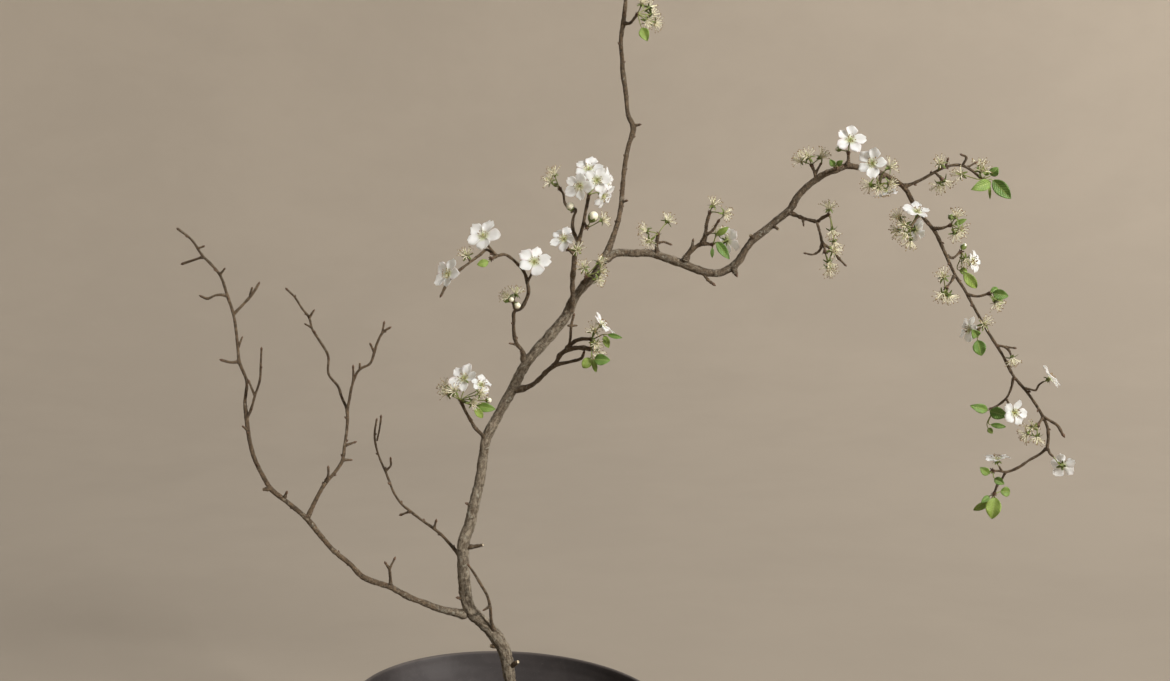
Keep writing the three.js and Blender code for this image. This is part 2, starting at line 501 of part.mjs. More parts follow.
// Raises a slim spike from each of the last triangles, one for each tip.
function raiseSpikes(points, triangles, tips) {
  const facets = triangles.splice(-tips.length);
  facets.forEach(([a, b, c], k) => {
    const tip = points.push(tips[k]) - 1;
    triangles.push([a, b, tip], [b, c, tip], [c, a, tip]);
  });
}

function middleOf(points) {
  return points.reduce((sum, point) => sum.add(point), new THREE.Vector3()).divideScalar(points.length);
}

// The same loop, started at the corner that lies the same way from its middle as the ring's first one does.
function startedLike(ringAhead, loop, points) {
  const offset = ringAhead[0].clone().sub(middleOf(ringAhead));
  const middle = middleOf(loop.map((corner) => points[corner]));
  const fit = loop.map((corner) => points[corner].clone().sub(middle).normalize().dot(offset));
  const first = fit.indexOf(Math.max(...fit));
  return [...loop.slice(first), ...loop.slice(0, first)];
}

// Carries a skin on from a loop of its corners over more rings, with a spike for each tip on the last facets.
function growOn(points, triangles, loop, { rings, tips = [] }) {
  let last = startedLike(rings[0], loop, points);
  for (const corners of rings) {
    const next = corners.map((corner) => points.push(corner) - 1);
    triangles.push(...stitch(last, next));
    last = next;
  }
  triangles.push(...flatEnd(last));
  if (tips.length > 0) {
    raiseSpikes(points, triangles, tips);
  }
}

// The closed skin over a row of rings.
function skin([first, ...rings], tips) {
  const points = [...first];
  const loop = first.map((_, k) => k);
  const triangles = flatEnd([...loop].reverse());
  growOn(points, triangles, loop, { rings, tips });
  return faceted(points, triangles);
}

function across(direction) {
  const other = Math.abs(direction.z) < 0.9 ? UP : new THREE.Vector3(1, 0, 0);
  return new THREE.Vector3().crossVectors(direction, other).normalize();
}

// Places given as right, forward and high of a middle point, with `axis` up and `right` as near as it can be.
function frameAt(middle, axis, right) {
  const x = right.clone().addScaledVector(axis, -right.dot(axis)).normalize();
  const y = new THREE.Vector3().crossVectors(axis, x);
  return (side, forward, high) =>
    middle.clone().addScaledVector(x, side).addScaledVector(y, forward).addScaledVector(axis, high);
}

function onRing(frame, turn, radius, height) {
  const angle = 2 * Math.PI * turn;
  return frame(radius * Math.cos(angle), radius * Math.sin(angle), height);
}

function ring(frame, count, radius, height) {
  return Array.from({ length: count }, (_, k) => onRing(frame, k / count, radius, height));
}

// The direction of a route at one of its points. It starts as it goes on at the second one, so that the sides
// of the first stretch are flat.
function directionAt(points, i) {
  const here = Math.max(i, 1);
  const after = points[Math.min(here + 1, points.length - 1)];
  return after.clone().sub(points[here - 1]).normalize();
}

// Rings along a route, without twist, and the direction that the first corner of the last one is in.
function ringsAlong(points, radii, sides) {
  let right = across(directionAt(points, 0));
  const rings = points.map((point, i) => {
    const frame = frameAt(point, directionAt(points, i), right);
    right = frame(1, 0, 0).sub(point);
    return ring(frame, sides, radii[i], 0);
  });
  return { rings, right };
}

// A stalk that leaves its root and comes to `end` along `arrive`.
function stalk(root, end, arrive, radius) {
  const span = root.from.distanceTo(end);
  const curve = new THREE.CubicBezierCurve3(
    root.from,
    root.from.clone().addScaledVector(root.leave, STALK_BEND * span),
    end.clone().addScaledVector(arrive, -STALK_BEND * span),
    end,
  );
  const stretches = span > LONG_STALK ? 2 : 1;
  let right = root.right;
  const rings = Array.from({ length: stretches }, (_, k) => {
    const t = (k + 1) / stretches;
    const point = curve.getPoint(t);
    const frame = frameAt(point, curve.getTangent(t), right);
    right = frame(1, 0, 0).sub(point);
    return ring(frame, 3, radius, 0);
  });
  return { rings, right };
}

// The pointed sepals: a ring that is far out at their drooping tips and close in between them.
function sepals(frame) {
  return Array.from({ length: 2 * PETAL_COUNT }, (_, k) => {
    const turn = k / (2 * PETAL_COUNT);
    return k % 2 === 0
      ? onRing(frame, turn, SEPAL_REACH, -SEPAL_DROOP)
      : onRing(frame, turn, HUB_RADIUS, -SEPAL_NOTCH_DEPTH);
  });
}

// The tips of stamens that lean out over the facets they stand on, every other one less.
function stamenTips(frame, height, length, lean) {
  return Array.from({ length: PETAL_COUNT }, (_, k) => {
    const spread = k % 2 === 0 ? lean : 0.55 * lean;
    const out = BOSS_RADIUS + length * Math.sin(spread);
    return onRing(frame, (k + 0.5) / PETAL_COUNT, out, height + length * Math.cos(spread));
  });
}

// The stalk and calyx under an open flower.
function flowerStalk(root, middle, axis) {
  const underCalyx = middle.clone().addScaledVector(axis, -CALYX_DEPTH);
  const { rings, right } = stalk(root, underCalyx, axis, PEDICEL_RADIUS);
  const frame = frameAt(middle, axis, right);
  return { rings: [...rings, sepals(frame), [frame(0, 0, -GAP)]] };
}

// A flower that has lost its petals: the calyx, and the stamens that stand on its boss.
function spentFlower(root, middle, axis) {
  const underCalyx = middle.clone().addScaledVector(axis, -CALYX_DEPTH);
  const { rings, right } = stalk(root, underCalyx, axis, PEDICEL_RADIUS);
  const frame = frameAt(middle, axis, right);
  const boss = [ring(frame, PETAL_COUNT, BOSS_RADIUS, BOSS_HEIGHT), [frame(0, 0, 2 * BOSS_HEIGHT)]];
  return {
    rings: [...rings, sepals(frame), ...boss],
    tips: stamenTips(frame, BOSS_HEIGHT, SPENT_STAMEN, SPENT_LEAN),
  };
}

// A round bud on its stalk.
function bud(root, middle, width) {
  const axis = middle.clone().sub(root.from).normalize();
  const foot = middle.clone().addScaledVector(axis, -BUD_REACH * width);
  const { rings, right } = stalk(root, foot, axis, PEDICEL_RADIUS);
  const frame = frameAt(middle, axis, right);
  const round = BUD_SHOULDERS.map((height) => ring(frame, PETAL_COUNT, BUD_RADIUS * width, height * width));
  return { rings: [...rings, ...round, [frame(0, 0, BUD_REACH * width)]] };
}

// A small pointed leaf on its stalk, folded along the midrib and arched over its length.
function leaf(root, foot, tip, width) {
  const along = tip.clone().sub(foot);
  const length = along.length();
  along.normalize();
  const toEye = EYE.clone().sub(foot).normalize();
  const side = new THREE.Vector3().crossVectors(along, toEye).normalize();
  const above = new THREE.Vector3().crossVectors(side, along);
  const edge = LEAF_EDGE * width;
  const fold = LEAF_FOLD * width;
  const arched = foot.clone().addScaledVector(above, LEAF_ARCH * length);
  const section = (out) => {
    const middle = arched.clone().addScaledVector(along, out * length);
    const place = (right, high) => middle.clone().addScaledVector(side, right).addScaledVector(above, high);
    return [place(edge, fold - BLADE_THICK), place(0, -BLADE_THICK), place(-edge, fold - BLADE_THICK),
      place(-edge, fold), place(0, 0), place(edge, fold)];
  };
  const end = tip.clone().addScaledVector(above, -LEAF_ARCH * length);
  const { rings } = stalk({ ...root, right: side }, foot, along, LEAF_STALK_RADIUS);
  return { rings: [...rings, ...LEAF_SECTIONS.map(section), [end]] };
}

// One open bloom: five cupped petals round a small hub with its stamens.
function bloom(frame, width) {
  const reach = width / 2;
  const points = [frame(0, 0, 0), frame(0, 0, HUB_TOP + 0.3)];
  const corners = (list) => list.map((point) => points.push(point) - 1);
  const lower = corners(ring(frame, PETAL_COUNT, HUB_RADIUS, 0));
  const upper = corners(ring(frame, PETAL_COUNT, HUB_RADIUS, HUB_TOP));
  const triangles = stitch([0], lower);
  for (let k = 0; k < PETAL_COUNT; k += 1) {
    const next = (k + 1) % PETAL_COUNT;
    const angle = (2 * Math.PI * (k + 0.5)) / PETAL_COUNT;
    const rise = PETAL_RISES[k % PETAL_RISES.length];
    const point = (side, out, high) => frame(
      out * Math.cos(angle) - side * Math.sin(angle),
      out * Math.sin(angle) + side * Math.cos(angle),
      high + rise * out,
    );
    const belly = PETAL_BELLY * reach;
    const half = PETAL_HALF_WIDTH * reach;
    const root = [lower[k], lower[next], upper[next], upper[k]];
    const middle = corners([
      point(-half, belly, PETAL_CUP), point(0, belly, 0), point(half, belly, PETAL_CUP),
      point(half, belly, PETAL_CUP + BLADE_THICK), point(0, belly, BLADE_THICK),
      point(-half, belly, PETAL_CUP + BLADE_THICK),
    ]);
    const tip = corners([
      point(-0.5 * half, reach, PETAL_TIP_RISE), point(0.5 * half, reach, PETAL_TIP_RISE),
      point(0.5 * half, reach, PETAL_TIP_RISE + BLADE_THICK),
      point(-0.5 * half, reach, PETAL_TIP_RISE + BLADE_THICK),
    ]);
    triangles.push(...stitch(root, middle), ...stitch(middle, tip), ...flatEnd(tip));
  }
  triangles.push(...stitch(upper, [1]));
  raiseSpikes(points, triangles, stamenTips(frame, HUB_TOP, BLOOM_STAMEN * reach, BLOOM_LEAN));
  return faceted(points, triangles);
}

const limbPoints = Object.fromEntries(Object.entries(LIMBS).map(([name, rows]) => [name, rows.map(seen)]));
const sprayLimbs = new Set(Object.values(SPRAYS).map((spray) => spray.limb));

function limbEnd(name) {
  const points = limbPoints[name];
  const end = points[points.length - 1];
  return { end, direction: end.clone().sub(points[points.length - 2]).normalize() };
}

// A limb is a tube of flat sides. It ends in a point where nothing grows on.
function limb(name) {
  const rows = LIMBS[name];
  const thickest = rows[0][3];
  const sides = LIMB_SIDES.find(([least]) => thickest >= least)[1];
  const { rings } = ringsAlong(limbPoints[name], rows.map((row) => row[3] / 2), sides);
  if (!sprayLimbs.has(name)) {
    const { end, direction } = limbEnd(name);
    rings.push([end.clone().addScaledVector(direction, rows[rows.length - 1][3] / 2)]);
  }
  return skin(rings);
}

// What grows alone on the end of a limb: its stalk starts inside the wood.
function loneOn(name, grown) {
  const { end, direction } = limbEnd(name);
  const from = end.clone().addScaledVector(direction, -SUNK_STALK);
  const root = { from, leave: direction, right: across(direction) };
  const { rings, tips } = grown(root);
  return skin([ring(frameAt(from, direction, root.right), 3, PEDICEL_RADIUS, 0), ...rings], tips);
}

const blooms = {};

function branch() {
  const pieces = Object.keys(LIMBS).map(limb);
  for (const [name, flower] of Object.entries(LONE_OPEN)) {
    const middle = seen(flower.at);
    const axis = facing(flower.face);
    pieces.push(loneOn(flower.limb, (root) => flowerStalk(root, middle, axis)));
    blooms[name] = bloom(frameAt(middle, axis, across(axis)), flower.width);
  }
  for (const flower of LONE_SPENT) {
    const middle = seen(flower.at);
    const axis = middle.clone().sub(limbEnd(flower.limb).end).normalize();
    pieces.push(loneOn(flower.limb, (root) => spentFlower(root, middle, axis)));
  }
  for (const { limb: from, at, width } of LONE_BUDS) {
    pieces.push(loneOn(from, (root) => bud(root, seen(at), width)));
  }
  const cut = 2 * HOLDER_RADIUS;
  const belowFoot = new THREE.BoxGeometry(cut, cut, cut).translate(0, 0, STEM_FOOT - cut / 2);
  return join(pieces).subtract(solid(belowFoot));
}

// The knob that a spray grows from: its corners and its facets, with the way that each one faces.
function knobAt(middle, direction, facetCount) {
  const shape = facetCount > 8
    ? new THREE.IcosahedronGeometry(KNOB_RADIUS)
    : new THREE.OctahedronGeometry(KNOB_RADIUS);
  const turn = new THREE.Quaternion().setFromUnitVectors(UP, direction);
  shape.applyQuaternion(turn).translate(...middle);
  shape.deleteAttribute("normal");
  shape.deleteAttribute("uv");
  const merged = mergeVertices(shape, 1e-3);
  const position = merged.getAttribute("position");
  const corner = (k) => new THREE.Vector3().fromBufferAttribute(position, k);
  const points = Array.from({ length: position.count }, (_, k) => corner(k));
  const facets = [];
  for (let k = 0; k < merged.index.count; k += 3) {
    const loop = [0, 1, 2].map((n) => merged.index.getX(k + n));
    const centre = middleOf(loop.map(corner));
    facets.push({ loop, centre, faces: centre.clone().sub(middle).normalize() });
  }
  return { points, facets };
}

// Everything in a spray grows out of the facets of its knob, each from the free one that faces it most.
function spray(name, { limb: from, open = [], spent = [], buds = [], leaves = [] }) {
  const { end, direction } = limbEnd(from);
  const knob = end.clone().addScaledVector(direction, GAP + KNOB_RADIUS);
  const grown = [];
  open.forEach(([at, face, width], i) => {
    const middle = seen(at);
    const axis = facing(face);
    grown.push({ toward: middle, build: (root) => flowerStalk(root, middle, axis) });
    blooms[`${name.replace("spray", "bloom")}_${i + 1}`] = bloom(frameAt(middle, axis, across(axis)), width);
  });
  spent.forEach(([at, face]) => {
    const middle = seen(at);
    const axis = face ? facing(face) : middle.clone().sub(knob).normalize();
    grown.push({ toward: middle, build: (root) => spentFlower(root, middle, axis) });
  });
  buds.forEach(([at, width]) => {
    grown.push({ toward: seen(at), build: (root) => bud(root, seen(at), width) });
  });
  leaves.forEach(([foot, tip, width]) => {
    grown.push({ toward: seen(foot), build: (root) => leaf(root, seen(foot), seen(tip), width) });
  });

  const { points, facets } = knobAt(knob, direction, grown.length + KNOB_SPARE_FACETS);
  const triangles = [];
  const fit = ({ toward }, facet) => toward.clone().sub(knob).normalize().dot(facet.faces);
  while (grown.length > 0) {
    const pairs = grown.flatMap((item) => facets.map((facet) => ({ item, facet, score: fit(item, facet) })));
    const { item, facet } = pairs.reduce((best, pair) => (pair.score > best.score ? pair : best));
    grown.splice(grown.indexOf(item), 1);
    facets.splice(facets.indexOf(facet), 1);
    const toward = item.toward.clone().sub(facet.centre).normalize();
    const root = {
      from: facet.centre,
      leave: toward.add(facet.faces).normalize(),
      right: points[facet.loop[0]].clone().sub(facet.centre).normalize(),
    };
    growOn(points, triangles, facet.loop, item.build(root));
  }
  triangles.push(...facets.map(({ loop }) => loop));
  return faceted(points, triangles);
}

// The wall profile of the bowl: [radius, height], foot first, up the outside and down the inside.
const OUTSIDE = [[0, 0], [FOOT_RADIUS, 0], [FOOT_RADIUS + 4, 3], [92, 13], [119, 31], [136, 50],
  [RIM_RADIUS - 1.5, RIM_HEIGHT - 6], [RIM_RADIUS, RIM_HEIGHT - 1]];
const WETTED = [[129.5, WATER_LEVEL], [108, 27], [80, 14.5], [48, FLOOR_THICK]];
const INSIDE = [[RIM_RADIUS - 3.5, RIM_HEIGHT], [140, 62], ...WETTED, [0, FLOOR_THICK]];

function turned(profile) {
  const points = profile.map(([radius, height]) => new THREE.Vector2(radius, height));
  return new THREE.LatheGeometry(points, BOWL_SEGMENTS).rotateX(Math.PI / 2);
}

function ovalTurned(profile) {
  return turned(profile).scale(OVAL_LONG, OVAL_SHORT, 1).rotateZ(OVAL_TURN);
}

function cylinder(radius, bottom, top, sides) {
  return new THREE.CylinderGeometry(radius, radius, top - bottom, sides)
    .rotateX(Math.PI / 2)
    .translate(0, 0, (bottom + top) / 2);
}

// The heavy plate with its pins. The ones under the stem are sunk in the wood, so they stand short.
function pinHolder(stemAt) {
  const plate = cylinder(HOLDER_RADIUS, FLOOR_THICK + GAP, PLATE_TOP, HOLDER_SIDES);
  const pieces = [solid(plate.translate(HOLDER_X, 0, 0))];
  const rows = Math.ceil(HOLDER_RADIUS / PIN_PITCH);
  for (let row = -rows; row <= rows; row += 1) {
    for (let column = -rows; column <= rows; column += 1) {
      const x = (column + (row % 2) / 2) * PIN_PITCH;
      const y = row * PIN_PITCH * Math.sin(Math.PI / 3);
      if (Math.hypot(x, y) < HOLDER_RADIUS - PLATE_MARGIN) {
        const underStem = Math.hypot(x + HOLDER_X - stemAt.x, y - stemAt.y) < STEM_HOLE_RADIUS + PIN_ROOT;
        const length = underStem ? SUNK_PIN : PIN_LENGTH;
        const frame = frameAt(new THREE.Vector3(x + HOLDER_X, y, PLATE_TOP), UP, across(UP));
        pieces.push(skin([ring(frame, 3, PIN_ROOT, -1), [frame(0, 0, length)]]));
      }
    }
  }
  return join(pieces);
}

// The water stands round and over the pin holder, with a plain hole for the stem.
function water(stem) {
  const [surface, ...bed] = WETTED.map(([radius, height]) => [radius - 2 * GAP, height + GAP]);
  const shape = [[0, FLOOR_THICK + GAP], ...bed.reverse(), [surface[0], WATER_LEVEL], [0, WATER_LEVEL]];
  const pocketTop = PLATE_TOP + PIN_LENGTH + 1;
  const pocket = cylinder(HOLDER_RADIUS + 2 * GAP, 0, pocketTop, HOLDER_SIDES).translate(HOLDER_X, 0, 0);
  const points = stem.slice(0, 3);
  const hole = skin(ringsAlong(points, points.map(() => STEM_HOLE_RADIUS), HOLE_SIDES).rings);
  return solid(ovalTurned(shape)).subtract(solid(pocket)).subtract(hole);
}

const arrangement = new THREE.Group();

function add(name, body, colour, roughness, metalness = 0) {
  const material = new THREE.MeshStandardMaterial({ color: COLOURS[colour], roughness, metalness });
  const mesh = new THREE.Mesh(geometryOf(body), material);
  mesh.name = name;
  arrangement.add(mesh);
}

const stem = limbPoints.trunk;
add("bowl", solid(ovalTurned([...OUTSIDE, ...INSIDE])), "stoneware", 0.75);
add("pin_holder", pinHolder(stem[0]), "iron", 0.6, 0.8);
add("water", water(stem), "water", 0.1);
add("branch", branch(), "bark", 0.85);
for (const [name, parts] of Object.entries(SPRAYS)) {
  add(name, spray(name, parts), "green", 0.7);
}
for (const [name, body] of Object.entries(blooms)) {
  add(name, body, "petal", 0.6);
}

export default arrangement;
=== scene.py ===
"""Looks of a cut, flowering fruit branch that stands on a pin holder in a wide stoneware bowl of water.

Lengths are millimetres in the part's own frame, +Z up and the front at -Y, until a mesh is made.
"""
import math
import random

import bpy
import numpy as np
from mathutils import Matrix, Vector, noise


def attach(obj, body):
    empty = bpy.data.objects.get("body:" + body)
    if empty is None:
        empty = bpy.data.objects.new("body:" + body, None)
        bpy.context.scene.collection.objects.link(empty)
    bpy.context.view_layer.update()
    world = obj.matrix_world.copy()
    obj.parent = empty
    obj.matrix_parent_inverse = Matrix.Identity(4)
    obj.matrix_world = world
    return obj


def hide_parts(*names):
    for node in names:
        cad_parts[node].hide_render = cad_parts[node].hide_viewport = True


bl_info = {
    "name": "Flowering Branch in a Bowl",
    "version": (1, 0, 0),
    "blender": (4, 5, 0),
    "location": "3D View > Sidebar > Arrangement",
    "description": "Builds a flowering fruit branch on a pin holder in a dark bowl of water, and its studio",
    "category": "Add Mesh",
}

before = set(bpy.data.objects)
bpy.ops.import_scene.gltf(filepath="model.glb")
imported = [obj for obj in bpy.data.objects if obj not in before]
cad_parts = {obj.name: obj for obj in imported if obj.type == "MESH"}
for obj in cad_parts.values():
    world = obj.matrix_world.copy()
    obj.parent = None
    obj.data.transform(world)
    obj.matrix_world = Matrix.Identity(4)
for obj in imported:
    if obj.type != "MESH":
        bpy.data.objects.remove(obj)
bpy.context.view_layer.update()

MM = 0.001
UP = np.array((0.0, 0.0, 1.0))

# Places are given as they are seen from the front: across, up and depth, from an eye before the branch.
EYE = np.array((70.0, -1300.0, 567.0))
EYE_TILT = math.radians(6.9)
EYE_LENS = 45.45

# Bowl. Its outline is (radius, height) from the foot up, over the lip and down to the middle of the floor.
RIM_HEIGHT = 75
FLOOR_THICK = 8
BOWL_FOOT = [(2, 0), (40, 0), (60, 0), (61.5, 0.4), (62.3, 1.3), (63.2, 2.1)]
BOWL_OUTSIDE = [(66, 3), (92, 13), (119, 31), (136, 50), (146, 69), (147.5, 73.2)]
BOWL_LIP = [(147.4, 74.2), (146.7, 74.8), (145.7, RIM_HEIGHT), (144.7, 74.8), (144, 74.2)]
BOWL_INSIDE = [(143.6, 73), (140, 62), (129.5, 48), (108, 27), (80, 14.5), (48, 8.3), (20, FLOOR_THICK)]
OVAL_LONG = 1.075
OVAL_SHORT = 0.927
OVAL_TURN = math.radians(-47.7)
TURNED_SIDES = 180

# Water and pin holder.
GAP = 0.3
WATER_LEVEL = 48
WATER_RADIUS = 129.2
WATER_BED = [(2, FLOOR_THICK + GAP), (47.6, FLOOR_THICK + GAP), (79.4, 14.9), (107, 27), (126, 44.6)]
WATER_CREEP = 1.3
WET_STEM_RADIUS = 6.1
HOLDER_RADIUS = 32
HOLDER_X = 8
HOLDER_PLATE = 10
PLATE_TOP = FLOOR_THICK + GAP + HOLDER_PLATE
PLATE_MARGIN = 3
PIN_LENGTH = 12
PIN_PITCH = 8.4
PIN_ROOT = 1.2
SUNK_PIN = 2.7
STEM_HOLE_RADIUS = 7.2

# Studio: a flat floor that curves up into a round wall.
STAGE_FLAT = 1500
STAGE_RADIUS = 4300
STAGE_HEIGHT = 2400
STAGE_DROP = 0.4
STAGE_SIDES = 160

# Soft lights, in metres: place, target, width, colour.
BRANCH_MIDDLE = (0.08, 0.0, 0.35)
WALL_MIDDLE = (1.9, 3.8, 1.1)
LIGHTS = {
    "key": ((3.8, -3.1, 2.9), BRANCH_MIDDLE, 1.5, (1.0, 0.98, 0.95)),
    "fill": ((-3.7, -3.1, 2.9), BRANCH_MIDDLE, 2.5, (1.0, 0.99, 0.98)),
    "wall": ((2.2, 1.2, 2.9), WALL_MIDDLE, 1.2, (1.0, 0.98, 0.97)),
    "back": ((-1.7, 4.6, 2.9), BRANCH_MIDDLE, 2.0, (1.0, 0.99, 0.98)),
}

# Wood. Young wood is drawn a little thinner than its solid, and that of the drooping limb thinner still.
LIMB_STEP = 1.2
SPUR_STEP = 0.55
COARSE_STEP = 2.0
BARK_FACE = 1.0
BARK_RELIEF = 0.2
YOUNG_WOOD = 0.84
SLENDER_WOOD = 0.74
KNUCKLE_SWELL = 0.32
SCAR_SWELL = 0.4
FLARE_SWELL = 0.25
DROOPING = ("arch", "reach", "fall", "tip")
FLOWERING = ("arm", "shoot", "right", "left", "first", "second", "third", "fourth", "fifth", "hanging",
             "reach", "fall", "tip")
FINELY_DRAWN = ("spur", "stub", "knee")
SCARRED = (*FINELY_DRAWN, "hook", "drop", "curl", "hanging")
BUDDED = ("bough", "bough_twig", "fork", "fork_left", "fork_right", "back", "leader", "arch", "reach", "arm")
BUDDED_GIRTH = 2.6

# Flowers and leaves. Stamens and scales follow each other by the golden turn, so that none stand in line.
GOLDEN_TURN = 0.618
KNOB_RADIUS = 1.6
KNOB_SCALES = 9
STALK_STEP = 1.2
STALK_SPREAD = 0.35
STALK_ROOT = 0.9
CALYX_DEPTH = 2.2
SEPAL_ROOT = 1.35
SEPAL_REACH = 4.5
SEPAL_DROOP = 1.5
PETAL_COUNT = 5
PETAL_ROOT = 1.1
PETAL_BELLY = 0.64
PETAL_HALF_WIDTH = 0.33
PETAL_CUP = 1.2
PETAL_RISES = (0.3, 0.2, 0.26)
PETAL_THICK = 0.26
LEAF_HALF_WIDTH = 0.52
LEAF_FOLD = 0.16
LEAF_ARCH = 0.07
LEAF_VEIN_PAIRS = 8
LEAF_VEIN_SLANT = 2.2
LEAF_THICK = 0.3

# Outlines of the small round forms: (radius, height) from foot to tip, those of the buds for a width of 1.
WINTER_BUD = [(0.42, -0.3), (0.5, 0.0), (0.52, 0.25), (0.4, 0.6), (0.22, 0.95), (0.02, 1.2)]
ANTHER = [(0.02, -0.4), (0.33, -0.18), (0.38, 0.15), (0.02, 0.5)]
CALYX = [(0.5, -CALYX_DEPTH - 0.3), (0.85, -CALYX_DEPTH + 0.2), (1.35, -1.3), (1.75, -0.6), (1.8, -0.2),
         (1.45, 0.0), (0.7, -0.15), (0.02, -0.2)]
HUB = [(1.3, -0.1), (1.75, 0.15), (1.7, 0.6), (1.2, 0.85), (0.6, 0.8), (0.02, 0.75)]
BUD_CUP = [(0.12, -0.68), (0.25, -0.55), (0.4, -0.34), (0.47, -0.15), (0.46, -0.08), (0.3, -0.1)]
KNOB = [(1.1, -2.1), (1.5, -1.1), (1.65, -0.2), (1.55, 0.5), (1.2, 1.1), (0.6, 1.5), (0.02, 1.65)]

# First random seed of each group.
BUD_SEED = 11
TWIG_FLOWER_SEED = 5
SPRAY_SEED = 100
BLOOM_SEED = 300

